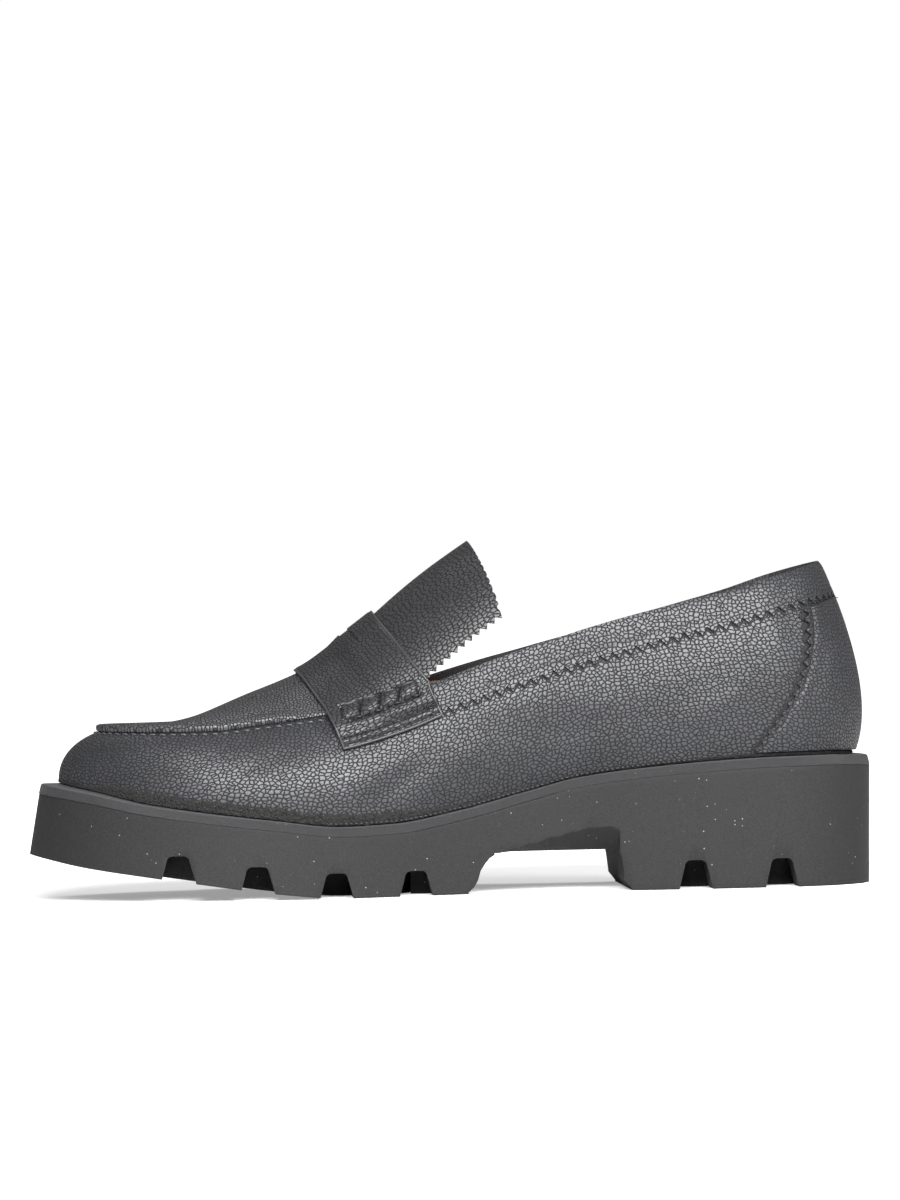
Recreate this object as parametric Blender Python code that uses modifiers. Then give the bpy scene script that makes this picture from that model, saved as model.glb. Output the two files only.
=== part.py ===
"""Chunky lug sole penny loafer for the right foot, at its real size.

The toe points along -X, the inner side of the foot is at -Y and +Z is up. The lugs stand on z = 0.
A place round the shoe is a turn from 0 to 1: 0 is the middle of the heel's back, 0.25 is half way along
the inner side, 0.5 is the toe's tip and 0.75 is half way along the outer side. A level on the upper's skin
is 0 at its foot, 1 at the topline or the apron's seam, and 2 on the ridge of the vamp.
Tables and sizes are in millimetres.
"""

import math
from collections import namedtuple

import bpy
import numpy as np

MM = 0.001
GAP = 0.3  # what neighbouring pieces keep between them

# Sole unit, at the edge under the welt
HEEL_X = 136.3
TOE_X = -133.0
HEEL_ROUND = (0.125, 2.2)  # share of the length that the rounded end takes, and how square it is
TOE_ROUND = (0.26, 2.1)
WELT_THICK = 3.3
WELT_LEAN = 0.6
WELT_ROUND = 0.7
INSOLE_THICK = 2.6
INSOLE_CLEARANCE = 0.9  # to the upper's wall
INSOLE_SEAT = 0.1

# Upper
WALL = 2.0
TOPLINE_BACK_X = 120.3
SEAM_TIP_X = -112.8
TOPLINE_HEEL_ROUND = (0.11, 2.2)
SEAM_TOE_ROUND = (0.17, 2.1)
THROAT_SEAM_X = -8.0
THROAT_RIDGE_X = -24.5
RIDGE_PER_SEAM = 0.665  # how far the ridge end of a section moves for each millimetre of its seam end

# Pieces on the upper
APRON_THICK = 1.0
APRON_BACK_X = -38.0  # on the seam, under the strap
LIP_RISE = 0.8
LIP_LEVEL = 1.0
LIP_SPREAD = 0.055
APRON_LEVELS = (0.955, 0.975, 1.0, 1.03, 1.06, 1.09, 1.2, 1.35, 1.52, 1.7, 1.86, 2.0)
LIP_FADE = (-58.0, -47.0)  # seam stations between which the lip sinks to the apron's own thickness
COLLAR_WIDTH = 11.2
COLLAR_THICK = 1.0
COLLAR_FRONT_SHARE = 1.0  # share of the strap's tab that the strip's front end spans
COLLAR_TOP = 0.995
COUNTER_GAP = 0.45  # wider than the others, round the heel's tight curve
COUNTER_THICK = 0.9
COUNTER_FOOT = 0.03
TONGUE_THICK = 1.6
TONGUE_LENGTH = 40.7  # beyond the throat, on the ridge
TONGUE_CORNER_CUT = 8.0
TONGUE_BOW = 0.9  # how far the flap arches off its straight line
TONGUE_SLOPE = math.radians(37.4)
TONGUE_START = 0.5
TONGUE_ROOT_LEVEL = 1.5
TONGUE_LEVELS = (1.04, 1.18, 1.3, 1.4, 1.5, 1.62, 1.75, 1.88, 2.0)
STRAP_THICK = 1.3
STRAP_STEP_FRONT = 1.0  # how much higher the strap lies where the apron is under it
STRAP_STEP_REAR = 1.8  # and where the tongue is under it
STRAP_STEP_SPAN = (0.40, 0.62)  # where the one turns into the other, from front to rear edge
STRAP_TAB_LEVEL_FRONT = 0.60
STRAP_TAB_LEVEL_REAR = 0.73
STRAP_RISE = (0.26, 0.46)
STRAP_SPANS = (0.0, 0.14, 0.26, 0.34, 0.41, 0.46, 0.58, 0.68, 0.74, 0.80, 0.87, 0.94)
STRAP_LEVELS = (1.0, 1.04, 1.1, 1.25, 1.45, 1.64, 1.82, 2.0)
ROLL_RISE = 1.1
ROLL_SPANS = (0.71, 1.06)
SLOT_X = -18.8  # on the seam
SLOT_WIDTH = 3.8
SLOT_LENGTH = 34.0

# Tread
UNIT_INSET = 0.5  # how far the unit's wall stays inside the welt's edge
LUG_DEPTH = 8.0
HEEL_LUG_DEPTH = 9.3
GROOVE_FOOT = 10.8
GROOVE_HEAD = 6.2
GROOVE_REACH = 17.0
FORE_GROOVES = (-89.1, -64.1, -39.0, -13.5)
HEEL_GROOVES = (76.2, 103.9)
CHANNEL_INSET = (15.5, 20.0)
ARCH_FRONT_X = 5.8
ARCH_BACK_X = 54.2
ARCH_HEIGHT = 12.9
SCOOP_EDGE_Y = -34.0
SCOOP_WIDTH = 14.0
SCOOP_OUTSIDE = 1.45  # how much higher the scoop is at its own edge than at the wall
ScoopRow = namedtuple("ScoopRow", "x rise")
SCOOP = (
    # station, height of the inner side's edge above the arch
    ScoopRow(12.0, 0.0),
    ScoopRow(23.5, 3.1),
    ScoopRow(30.0, 5.0),
    ScoopRow(37.0, 6.5),
    ScoopRow(42.0, 7.3),
    ScoopRow(48.5, 7.1),
    ScoopRow(52.2, 5.6),
)
TREAD_ROUND = 0.06  # share of the unit's wall at which its second ring lies
BELOW = 6.0  # how far a cutter reaches below the tread
SOLE_REACH = 60.0
GROOVE_ROUND = 2.0
CROSS_WIDTH = 4.5
ISLAND_ROUND = (0.14, 2.6)
Island = namedtuple("Island", "name back front depth cuts")
ISLANDS = (
    Island("fore", -12.0, -104.0, LUG_DEPTH, (-27.0, -52.0, -77.0)),
    Island("heel", 112.0, 70.0, HEEL_LUG_DEPTH, (89.0,)),
)

SoleRow = namedtuple("SoleRow", "share centre half top drop tread flare ledge")
SOLE = (
    # share from the heel, middle's shift outwards, half width, welt's top on the inner side, how much lower
    # the outer side is, tread's height, how far the wall spreads down to the tread, ledge round the upper
    SoleRow(0.00, 0.0, 33.0, 41.3, 0.0, 0.0, -0.9, 6.4),
    SoleRow(0.05, 0.0, 33.3, 41.9, 0.0, 0.0, -0.8, 5.4),
    SoleRow(0.12, 0.2, 33.7, 41.7, 0.0, 0.0, -0.5, 4.5),
    SoleRow(0.20, 0.5, 34.5, 40.8, 0.3, 0.0, 0.0, 3.6),
    SoleRow(0.30, 2.2, 33.8, 38.6, 1.2, 0.0, 0.0, 3.0),
    SoleRow(0.36, 3.5, 33.0, 36.4, 2.0, 0.0, 0.0, 2.7),
    SoleRow(0.42, 4.3, 33.7, 32.3, 2.2, 0.0, 0.0, 2.6),
    SoleRow(0.50, 4.2, 37.3, 26.8, 1.2, 0.0, 0.3, 3.0),
    SoleRow(0.58, 3.0, 42.0, 23.1, 0.4, 0.0, 0.8, 3.4),
    SoleRow(0.64, 1.7, 44.8, 22.6, 0.0, 0.0, 1.0, 3.8),
    SoleRow(0.72, -0.3, 45.8, 25.0, 0.0, 1.9, 1.2, 4.2),
    SoleRow(0.80, -1.3, 44.7, 27.7, 0.0, 5.1, 1.6, 4.6),
    SoleRow(0.88, -2.5, 43.0, 31.0, 0.0, 8.4, 2.2, 5.2),
    SoleRow(0.94, -3.5, 42.0, 34.6, 0.0, 11.1, 2.8, 6.0),
    SoleRow(1.00, -4.5, 41.0, 37.5, 0.0, 15.0, 3.3, 6.5),
)

SeamRow = namedtuple("SeamRow", "share centre half height drop roof")
SEAM = (
    # share from the heel, middle's shift outwards, half width, height on the inner side, how much lower the
    # outer side is, angle that the vamp's arc turns between seam and ridge
    SeamRow(0.00, 0.0, 26.0, 103.7, 0.0, 78.0),
    SeamRow(0.06, 0.0, 26.8, 100.1, 0.3, 78.0),
    SeamRow(0.12, 0.2, 27.4, 96.1, 0.8, 78.0),
    SeamRow(0.20, 0.6, 28.4, 91.9, 1.6, 78.0),
    SeamRow(0.30, 1.5, 29.6, 86.1, 2.0, 78.0),
    SeamRow(0.40, 2.0, 30.8, 79.2, 1.2, 78.0),
    SeamRow(0.47, 2.0, 31.2, 73.8, 0.0, 78.0),
    SeamRow(0.54, 1.8, 30.7, 68.0, -1.0, 78.0),
    SeamRow(0.62, 1.3, 29.6, 62.6, 0.0, 68.0),
    SeamRow(0.70, 0.4, 28.6, 58.8, 0.0, 52.0),
    SeamRow(0.78, -0.9, 27.8, 56.0, 0.0, 30.0),
    SeamRow(0.85, -2.2, 27.4, 54.1, 0.0, 15.0),
    SeamRow(0.92, -3.4, 27.0, 53.9, 0.0, 10.0),
    SeamRow(1.00, -4.6, 26.0, 54.1, 0.0, 8.0),
)

RidgeRow = namedtuple("RidgeRow", "x height")
RIDGE = (
    RidgeRow(-98.0, 53.2),
    RidgeRow(-90.0, 54.0),
    RidgeRow(-84.0, 55.7),
    RidgeRow(-75.4, 59.4),
    RidgeRow(-65.0, 63.7),
    RidgeRow(-54.6, 67.6),
    RidgeRow(-46.0, 71.4),
    RidgeRow(-36.0, 78.2),
    RidgeRow(-24.0, 87.0),
    RidgeRow(-16.0, 93.1),
)

WallRow = namedtuple("WallRow", "share lean_in lean_out foot_reach top_lean top_reach")
WALLS = (
    # share from the heel, outward lean of the wall's foot on each side, how far that lean is felt,
    # inward lean at the top and how far that is felt
    WallRow(0.00, 27.0, 27.0, 15.5, 24.0, 25.0),
    WallRow(0.05, 23.0, 23.0, 17.0, 21.0, 24.0),
    WallRow(0.14, 16.0, 16.0, 19.0, 15.0, 22.0),
    WallRow(0.28, 18.0, 13.0, 18.0, 9.0, 20.0),
    WallRow(0.42, 31.0, 19.0, 17.0, 7.0, 16.0),
    WallRow(0.52, 27.0, 17.0, 15.0, 14.0, 15.0),
    WallRow(0.60, 17.0, 13.0, 13.0, 30.0, 14.0),
    WallRow(0.70, 11.0, 10.0, 11.0, 47.0, 12.5),
    WallRow(0.80, 8.0, 8.0, 9.5, 60.0, 11.0),
    WallRow(0.90, 5.0, 5.0, 8.5, 68.0, 9.0),
    WallRow(1.00, 2.0, 2.0, 9.0, 71.0, 8.0),
)

StrapRow = namedtuple("StrapRow", "place front rear")
STRAP_EDGES = (
    # place from a tab's foot (0) over the seam (1) to the ridge (2), stations of the strap's edges
    StrapRow(0.0, -33.0, -3.5),
    StrapRow(1.0, -41.2, -7.6),
    StrapRow(2.0, -44.5, -5.0),
)

CounterRow = namedtuple("CounterRow", "level x")
COUNTER_EDGE = (
    # level on the wall, station of the counter's front edge
    CounterRow(0.00, 94.5),
    CounterRow(0.10, 98.5),
    CounterRow(0.22, 103.5),
    CounterRow(0.35, 108.5),
    CounterRow(0.50, 112.0),
    CounterRow(0.65, 113.6),
    CounterRow(0.80, 112.8),
    CounterRow(1.00, 111.5),
)

Finish = namedtuple("Finish", "colour roughness metallic")
FINISHES = {
    "black_leather": Finish((0.040, 0.040, 0.045), 0.48, 0.0),
    "tan_lining": Finish((0.560, 0.360, 0.230), 0.60, 0.0),
    "sole_rubber": Finish((0.055, 0.055, 0.056), 0.72, 0.0),
    "welt_rubber": Finish((0.075, 0.075, 0.078), 0.58, 0.0),
}


def smooth(rows, key, place):
    """A column's value at a place on the first column: a cubic through the rows, with no overshoot."""
    xs = np.array([row[0] for row in rows])
    ys = np.array([getattr(row, key) for row in rows])
    widths = np.diff(xs)
    slopes = np.diff(ys) / widths
    tangents = np.zeros(len(xs))
    tangents[0], tangents[-1] = slopes[0], slopes[-1]
    same_way = slopes[:-1] * slopes[1:] > 0
    both = np.where(same_way, slopes[:-1] + slopes[1:], 1.0)
    tangents[1:-1] = np.where(same_way, 2 * slopes[:-1] * slopes[1:] / both, 0.0)
    place = np.clip(place, xs[0], xs[-1])
    i = np.clip(np.searchsorted(xs, place) - 1, 0, len(xs) - 2)
    t = (place - xs[i]) / widths[i]
    ease = t * t * (3 - 2 * t)
    start = tangents[i] * t * (1 - t) ** 2
    end = tangents[i + 1] * t * t * (t - 1)
    return ys[i] + (ys[i + 1] - ys[i]) * ease + widths[i] * (start + end)


def share_of(turn):
    """Share of the length from the heel's back, which is spaced closely at both ends."""
    return (1 - np.cos(2 * math.pi * turn)) / 2


def turn_of(share):
    """Turn on the inner side that lies at this share of the length."""
    return np.arccos(1 - 2 * np.clip(share, 0, 1)) / (2 * math.pi)


def side_of(turn):
    """-1 on the inner side and 1 on the outer side."""
    return np.where(np.sin(2 * math.pi * turn) >= 0, -1.0, 1.0)


def outer_share(turn):
    """0 on the inner side and 1 on the outer side, with an even change across heel and toe."""
    return (1 - np.sin(2 * math.pi * turn)) / 2


def rounding(share, heel, toe):
    """What the half width is multiplied by, so that both ends close in a round."""
    heel_part = np.clip(1 - share / heel[0], 0, 1)
    toe_part = np.clip(1 - (1 - share) / toe[0], 0, 1)
    return (1 - heel_part ** heel[1]) ** (1 / heel[1]) * (1 - toe_part ** toe[1]) ** (1 / toe[1])


def sole_rim(turn):
    """Plan point of the sole unit's upper edge."""
    share = share_of(turn)
    half = smooth(SOLE, "half", share) * rounding(share, HEEL_ROUND, TOE_ROUND)
    x = HEEL_X + (TOE_X - HEEL_X) * share
    return np.stack([x, smooth(SOLE, "centre", share) + side_of(turn) * half], axis=-1)


def seam_rim(turn):
    """Plan point of the topline and the apron's seam."""
    share = share_of(turn)
    half = smooth(SEAM, "half", share) * rounding(share, TOPLINE_HEEL_ROUND, SEAM_TOE_ROUND)
    x = TOPLINE_BACK_X + (SEAM_TIP_X - TOPLINE_BACK_X) * share
    return np.stack([x, smooth(SEAM, "centre", share) + side_of(turn) * half], axis=-1)


def outward(rim, turn):
    """Outward normal of a rim in plan."""
    step = 0.004
    along = rim(turn + step) - rim(turn - step)
    normal = np.stack([along[..., 1], -along[..., 0]], axis=-1)
    return -normal / np.linalg.norm(normal, axis=-1, keepdims=True)


def sole_edge(turn, grow):
    """Plan point of the sole's edge, moved outwards by grow."""
    return sole_rim(turn) + outward(sole_rim, turn) * np.expand_dims(grow, -1)


def welt_top(turn):
    """Height of the welt's upper face at its edge."""
    share = share_of(turn)
    return smooth(SOLE, "top", share) - smooth(SOLE, "drop", share) * outer_share(turn)


def with_height(plan, height):
    """Points from plan points and heights."""
    return np.concatenate([plan, np.expand_dims(np.broadcast_to(height, plan.shape[:-1]), -1)], axis=-1)


def foot_line(turn):
    """Where the upper meets the welt."""
    ledge = smooth(SOLE, "ledge", share_of(turn))
    return with_height(sole_edge(turn, -ledge), welt_top(turn) + GAP)


def seam_line(turn):
    """The topline behind the throat, and the apron's seam before it."""
    share = share_of(turn)
    height = smooth(SEAM, "height", share) - smooth(SEAM, "drop", share) * outer_share(turn)
    return with_height(seam_rim(turn), height)


def ridge_line(turn):
    """Where the section through this turn meets the vamp's ridge."""
    share = share_of(turn)
    seam_x = TOPLINE_BACK_X + (SEAM_TIP_X - TOPLINE_BACK_X) * share
    x = THROAT_RIDGE_X + RIDGE_PER_SEAM * (seam_x - THROAT_SEAM_X)
    y = smooth(SEAM, "centre", share)
    return np.stack([x, y, smooth(RIDGE, "height", x)], axis=-1)


def wall_point(turn, level):
    """Point of the wall between foot and seam, at a share of the section's length."""
    share = share_of(turn)
    foot, seam = foot_line(turn), seam_line(turn)
    foot_out, seam_out = outward(sole_rim, turn), outward(seam_rim, turn)
    lean_in, lean_out = smooth(WALLS, "lean_in", share), smooth(WALLS, "lean_out", share)
    foot_lean = np.radians(lean_in + (lean_out - lean_in) * outer_share(turn))
    top_lean = np.radians(smooth(WALLS, "top_lean", share))
    foot_way = with_height(foot_out * np.expand_dims(np.sin(foot_lean), -1), np.cos(foot_lean))
    top_way = with_height(seam_out * np.expand_dims(np.sin(top_lean), -1), -np.cos(top_lean))
    foot_pull = foot + foot_way * np.expand_dims(smooth(WALLS, "foot_reach", share), -1)
    seam_pull = seam + top_way * np.expand_dims(smooth(WALLS, "top_reach", share), -1)

    def bezier(t):
        t = np.expand_dims(t, -1)
        rest = 1 - t
        return (
            foot * rest**3 + 3 * foot_pull * rest**2 * t + 3 * seam_pull * rest * t**2 + seam * t**3
        )

    steps = 20
    marks = [bezier(np.full(np.shape(turn), n / steps)) for n in range(steps + 1)]
    lengths = [np.linalg.norm(b - a, axis=-1) for a, b in zip(marks, marks[1:])]
    passed = np.cumsum([np.zeros_like(lengths[0])] + lengths, axis=0)
    wanted = np.clip(level, 0, 1) * passed[-1]
    t = sum(np.clip((wanted - passed[n]) / lengths[n], 0, 1) / steps for n in range(steps))
    return bezier(t)


def vamp_point(turn, level):
    """Point of the vamp's arc between the seam, at level 1, and the ridge, at level 2."""
    seam, ridge = seam_line(turn), ridge_line(turn)
    roof = np.radians(smooth(SEAM, "roof", share_of(turn)))
    angle = np.clip(2 - level, 0, 1) * roof
    sideways = np.sin(angle) / np.sin(roof)
    fall = (1 - np.cos(angle)) / (1 - np.cos(roof))
    parts = np.stack([fall, sideways, fall], axis=-1)
    return ridge + (seam - ridge) * parts


def skin(turn, level):
    """Point of the upper's outer skin."""
    turn, level = np.broadcast_arrays(np.asarray(turn, float), np.asarray(level, float))
    above = np.expand_dims(level > 1, -1)
    return np.where(above, vamp_point(turn, level), wall_point(turn, level))


def lifted(turn, level, lift):
    """Point at a distance outside the upper's skin."""
    turn, level = np.broadcast_arrays(np.asarray(turn, float), np.asarray(level, float))
    fold = np.where(turn % 1 > 0.5, 1.0, -1.0)
    near_turn = turn + np.where(np.abs(turn % 1 - 0.5) < 0.006, 0.006 * fold, 0.0)
    near_level = np.clip(level, 0.02, 1.95)
    around = skin(near_turn + 0.003, near_level) - skin(near_turn - 0.003, near_level)
    up = skin(near_turn, near_level + 0.02) - skin(near_turn, near_level - 0.02)
    normal = np.cross(up, around)
    at_toe = np.abs(turn % 1 - 0.5) < 1e-6
    normal[..., 1] = np.where(at_toe, 0.0, normal[..., 1])
    ridge_x = ridge_line(turn)[..., 0]
    slope = smooth(RIDGE, "height", ridge_x + 0.5) - smooth(RIDGE, "height", ridge_x - 0.5)
    on_ridge = np.stack([-slope, np.zeros_like(slope), np.ones_like(slope)], axis=-1)
    normal = np.where(np.expand_dims(level > 1.999, -1), on_ridge, normal)
    normal /= np.linalg.norm(normal, axis=-1, keepdims=True)
    return skin(turn, level) + normal * np.expand_dims(lift, -1)


def seam_turn(x):
    """Turn on the inner side whose seam point has this station."""
    return turn_of((x - TOPLINE_BACK_X) / (SEAM_TIP_X - TOPLINE_BACK_X))


def step_up(value, low, high):
    """0 below low, 1 above high, and an even ease between."""
    t = np.clip((value - low) / (high - low), 0, 1)
    return t * t * (3 - 2 * t)


def joined(grids, keeps=None):
    """Corners and outward faces of the skin through grids of points, joined where points coincide."""
    places, corners, faces = {}, [], []
    for number, points in enumerate(grids):
        keep = keeps[number] if keeps else None
        index = np.empty(points.shape[:2], int)
        for i, j in np.ndindex(*points.shape[:2]):
            key = tuple(np.round(points[i, j], 3) + 0.0)
            if key not in places:
                places[key] = len(corners)
                corners.append((number, i, j))
            index[i, j] = places[key]
        for i, j in np.ndindex(points.shape[0] - 1, points.shape[1] - 1):
            if keep is not None and not keep[i, j]:
                continue
            around = [index[i, j], index[i, j + 1], index[i + 1, j + 1], index[i + 1, j]]
            face = [v for n, v in enumerate(around) if v != around[n - 1]]
            if len(set(face)) > 2:
                faces.append(face)
    used = sorted({v for face in faces for v in face})
    renumber = {old: new for new, old in enumerate(used)}
    faces = [[renumber[v] for v in face] for face in faces]
    return [corners[v] for v in used], faces


def add_object(name, points, faces, finish, collection):
    """Object from points in millimetres and faces, with its own material."""
    mesh = bpy.data.meshes.new(name)
    mesh.from_pydata((np.asarray(points) * MM).tolist(), [], faces)
    mesh.update()
    piece = bpy.data.objects.new(name, mesh)
    if finish:
        material = bpy.data.materials.new(name)
        material.use_nodes = True
        shader = material.node_tree.nodes["Principled BSDF"]
        look = FINISHES[finish]
        shader.inputs["Base Color"].default_value = (*look.colour, 1.0)
        shader.inputs["Roughness"].default_value = look.roughness
        shader.inputs["Metallic"].default_value = look.metallic
        mesh.materials.append(material)
    collection.objects.link(piece)
    return piece


def shade(piece, angle=40.0):
    """Smooth shading with sharp edges where faces meet at more than an angle."""
    piece.data.shade_smooth()
    piece.data.set_sharp_from_angle(angle=math.radians(angle))


def shell(name, grids, thickness, offset, finish, collection, keeps=None):
    """Skin through grids of points, made solid by a thickness on its inner (-1) or outer (1) side."""
    corners, faces = joined(grids, keeps)
    points = [grids[n][i, j] for n, i, j in corners]
    piece = add_object(name, points, faces, finish, collection)
    solid = piece.modifiers.new("thickness", "SOLIDIFY")
    solid.thickness = thickness * MM
    solid.offset = offset
    solid.use_even_offset = True
    shade(piece)
    return piece


def layer(name, low, high, finish, collection, keep=None):
    """Solid between a low and a high grid of points, walled along its border."""
    corners, faces = joined([low], [keep] if keep is not None else None)
    count = len(corners)
    points = [low[i, j] for _, i, j in corners] + [high[i, j] for _, i, j in corners]
    edges = {(face[n - 1], face[n]) for face in faces for n in range(len(face))}
    solid = [[v + count for v in face] for face in faces] + [face[::-1] for face in faces]
    solid += [[b + count, a + count, a, b] for a, b in edges if (b, a) not in edges]
    piece = add_object(name, points, solid, finish, collection)
    shade(piece)
    return piece


def slab(name, rings, finish, collection):
    """Solid through rings of points stacked upwards; both ends are closed by rungs from side to side."""
    count = len(rings[0])
    points = np.concatenate(rings)
    faces = []
    for level in range(len(rings) - 1):
        base = level * count
        for i in range(count):
            j = (i + 1) % count
            faces.append([base + i, base + count + i, base + count + j, base + j])
    for base, down in ((0, True), ((len(rings) - 1) * count, False)):
        for i in range(count // 2):
            rung = [base + i, base + i + 1, base + (count - i - 1) % count, base + (count - i) % count]
            face = [v for n, v in enumerate(rung) if v != rung[n - 1]]
            faces.append(face if down else face[::-1])
    piece = add_object(name, points, faces, finish, collection)
    shade(piece)
    return piece


def hoop(name, rings, collection):
    """Closed hoop through rings of points."""
    count = len(rings[0])
    faces = []
    for level in range(len(rings)):
        base, after = level * count, (level + 1) % len(rings) * count
        for i in range(count):
            j = (i + 1) % count
            faces.append([base + i, after + i, after + j, base + j])
    return add_object(name, np.concatenate(rings), faces, None, collection)


def bar(name, outline, near, far, collection):
    """Prism along Y on an outline of (x, z) points that runs anticlockwise as seen from -Y."""
    count = len(outline)
    points = [(x, near, z) for x, z in outline] + [(x, far, z) for x, z in outline]
    faces = [list(range(count)), list(range(2 * count - 1, count - 1, -1))]
    for i in range(count):
        j = (i + 1) % count
        faces.append([j, i, i + count, j + count])
    return add_object(name, points, faces, None, collection)


def cut(piece, cutter):
    """Boolean difference that keeps the cutter out of sight."""
    cutter.hide_render = True
    cutter.display_type = "WIRE"
    modifier = piece.modifiers.new(cutter.name, "BOOLEAN")
    modifier.operation = "DIFFERENCE"
    modifier.solver = "EXACT"
    modifier.object = cutter


def tread_height(x):
    """Height of the tread at a station."""
    return smooth(SOLE, "tread", (HEEL_X - x) / (HEEL_X - TOE_X))


def ring_turns(inner):
    """Turns all round, mirrored from those on the inner side."""
    return np.concatenate([inner, 1 - inner[-2:0:-1]])


def build_outsole(model, cutters):
    """Rubber unit with heel block, arch and lugs."""
    turns = ring_turns(np.linspace(0, 0.5, 37))
    share = share_of(turns)
    foot = with_height(sole_edge(turns, smooth(SOLE, "flare", share)), smooth(SOLE, "tread", share))
    head = with_height(sole_edge(turns, -UNIT_INSET), welt_top(turns) - WELT_THICK - GAP)
    arris = foot * (1 - TREAD_ROUND) + head * TREAD_ROUND
    sole = slab("outsole", [foot, arris, head], "sole_rubber", model)
    for cutter in arch_cutters(cutters) + groove_cutters(cutters) + island_cutters(cutters):
        cut(sole, cutter)
    return sole


def arch_cutters(cutters):
    """The gap between forefoot and heel, and the scoop in the inner side's edge above it."""
    front, back = ARCH_FRONT_X, ARCH_BACK_X
    top = ARCH_HEIGHT
    gap = [
        (front - 4.0, -BELOW), (back + 3.5, -BELOW), (back + 1.5, 0.6), (back - 0.5, 3.2),
        (back - 1.2, 9.0), (back - 3.6, top), (front + 7.4, top), (front + 3.4, top - 2.7),
        (front + 1.0, 5.8), (front - 0.6, 2.2),
    ]
    near = [(SCOOP[0].x, top - BELOW)] + [(row.x, top + row.rise * SCOOP_OUTSIDE) for row in SCOOP]
    near.append((SCOOP[-1].x, top - BELOW))
    count = len(near)
    points = [(x, SCOOP_EDGE_Y, z) for x, z in near]
    points += [(x, SCOOP_EDGE_Y + SCOOP_WIDTH, min(z, top - GAP)) for x, z in near]
    faces = [list(range(count)), list(range(2 * count - 1, count - 1, -1))]
    faces += [[(i + 1) % count, i, i + count, (i + 1) % count + count] for i in range(count)]
    scoop = add_object("cut_scoop", points, [face[::-1] for face in faces], None, cutters)
    return [bar("cut_arch", gap, -SOLE_REACH, SOLE_REACH, cutters), scoop]


def groove_outline(x, depth):
    """Outline of a groove through the rim: wider at its mouth and rounded at its head."""
    base = float(tread_height(x))
    slope = (GROOVE_FOOT - GROOVE_HEAD) / 2 / depth
    mouth = GROOVE_FOOT / 2 + slope * BELOW
    corner = GROOVE_FOOT / 2 - slope * (depth - GROOVE_ROUND)
    left = [(-mouth, -BELOW), (mouth, -BELOW), (corner, depth - GROOVE_ROUND)]
    arc = [
        (corner - GROOVE_ROUND * (1 - math.cos(a)), depth - GROOVE_ROUND * (1 - math.sin(a)))
        for a in (math.pi / 6, math.pi / 3, math.pi / 2)
    ]
    right = [(-u, v) for u, v in reversed(arc)] + [(-corner, depth - GROOVE_ROUND)]
    return [(x + u, base + v) for u, v in left + arc + right]


def groove_cutters(cutters):
    """Grooves through the rim of lugs, on both sides."""
    made = []
    rows = [(x, LUG_DEPTH) for x in FORE_GROOVES] + [(x, HEEL_LUG_DEPTH) for x in HEEL_GROOVES]
    for number, (x, depth) in enumerate(rows):
        turn = turn_of((HEEL_X - x) / (HEEL_X - TOE_X))
        for side, where in (("inner", turn), ("outer", 1 - turn)):
            edge = float(sole_rim(where)[1])
            deep = edge - math.copysign(GROOVE_REACH, edge)
            wide = edge + math.copysign(BELOW, edge)
            name = f"cut_groove_{number}_{side}"
            made.append(bar(name, groove_outline(x, depth), min(deep, wide), max(deep, wide), cutters))
    return made


def island_ring(turns, back, front, inset):
    """Plan ring inside the tread, between two stations."""
    local = share_of(turns)
    x = back + (front - back) * local
    share = (HEEL_X - x) / (HEEL_X - TOE_X)
    half = smooth(SOLE, "half", share) * rounding(share, HEEL_ROUND, TOE_ROUND) - inset
    half = half * rounding(local, ISLAND_ROUND, ISLAND_ROUND)
    return np.stack([x, smooth(SOLE, "centre", share) + side_of(turns) * half], axis=-1)


def island_cutters(cutters):
    """The channel round the middle lugs of forefoot and heel, and the cross cuts between those lugs."""
    made = []
    turns = ring_turns(np.linspace(0, 0.5, 13))
    outer_inset, inner_inset = CHANNEL_INSET
    width = inner_inset - outer_inset
    for name, back, front, depth, cuts in ISLANDS:
        outer = island_ring(turns, back + width, front - width, outer_inset)
        inner = island_ring(turns, back, front, inner_inset)
        rings = [
            with_height(outer, -BELOW),
            with_height(outer, tread_height(outer[:, 0]) + depth),
            with_height(inner, tread_height(inner[:, 0]) + depth),
            with_height(inner, -BELOW),
        ]
        made.append(hoop(f"cut_channel_{name}", rings, cutters))
        for number, x in enumerate(cuts):
            share = (HEEL_X - x) / (HEEL_X - TOE_X)
            middle = float(smooth(SOLE, "centre", share))
            half = float(smooth(SOLE, "half", share)) - outer_inset - width / 2
            top = float(tread_height(x)) + depth - 0.5
            edge = CROSS_WIDTH / 2
            outline = [(x - edge - 1, -BELOW), (x + edge + 1, -BELOW), (x + edge, top), (x - edge, top)]
            made.append(bar(f"cut_cross_{name}_{number}", outline, middle - half, middle + half, cutters))
    return made


def build_midsole(model):
    """The bevelled plate between unit and upper, whose edge shows as a band."""
    turns = ring_turns(np.linspace(0, 0.5, 37))
    top = welt_top(turns)
    ledge = smooth(SOLE, "ledge", share_of(turns))
    rings = [
        with_height(sole_edge(turns, np.zeros_like(turns)), top - WELT_THICK),
        with_height(sole_edge(turns, np.full_like(turns, -WELT_LEAN)), top - WELT_ROUND),
        with_height(sole_edge(turns, np.full_like(turns, -WELT_LEAN - WELT_ROUND)), top),
        with_height(sole_edge(turns, -ledge), top),
    ]
    return slab("midsole", rings, "welt_rubber", model)


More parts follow.
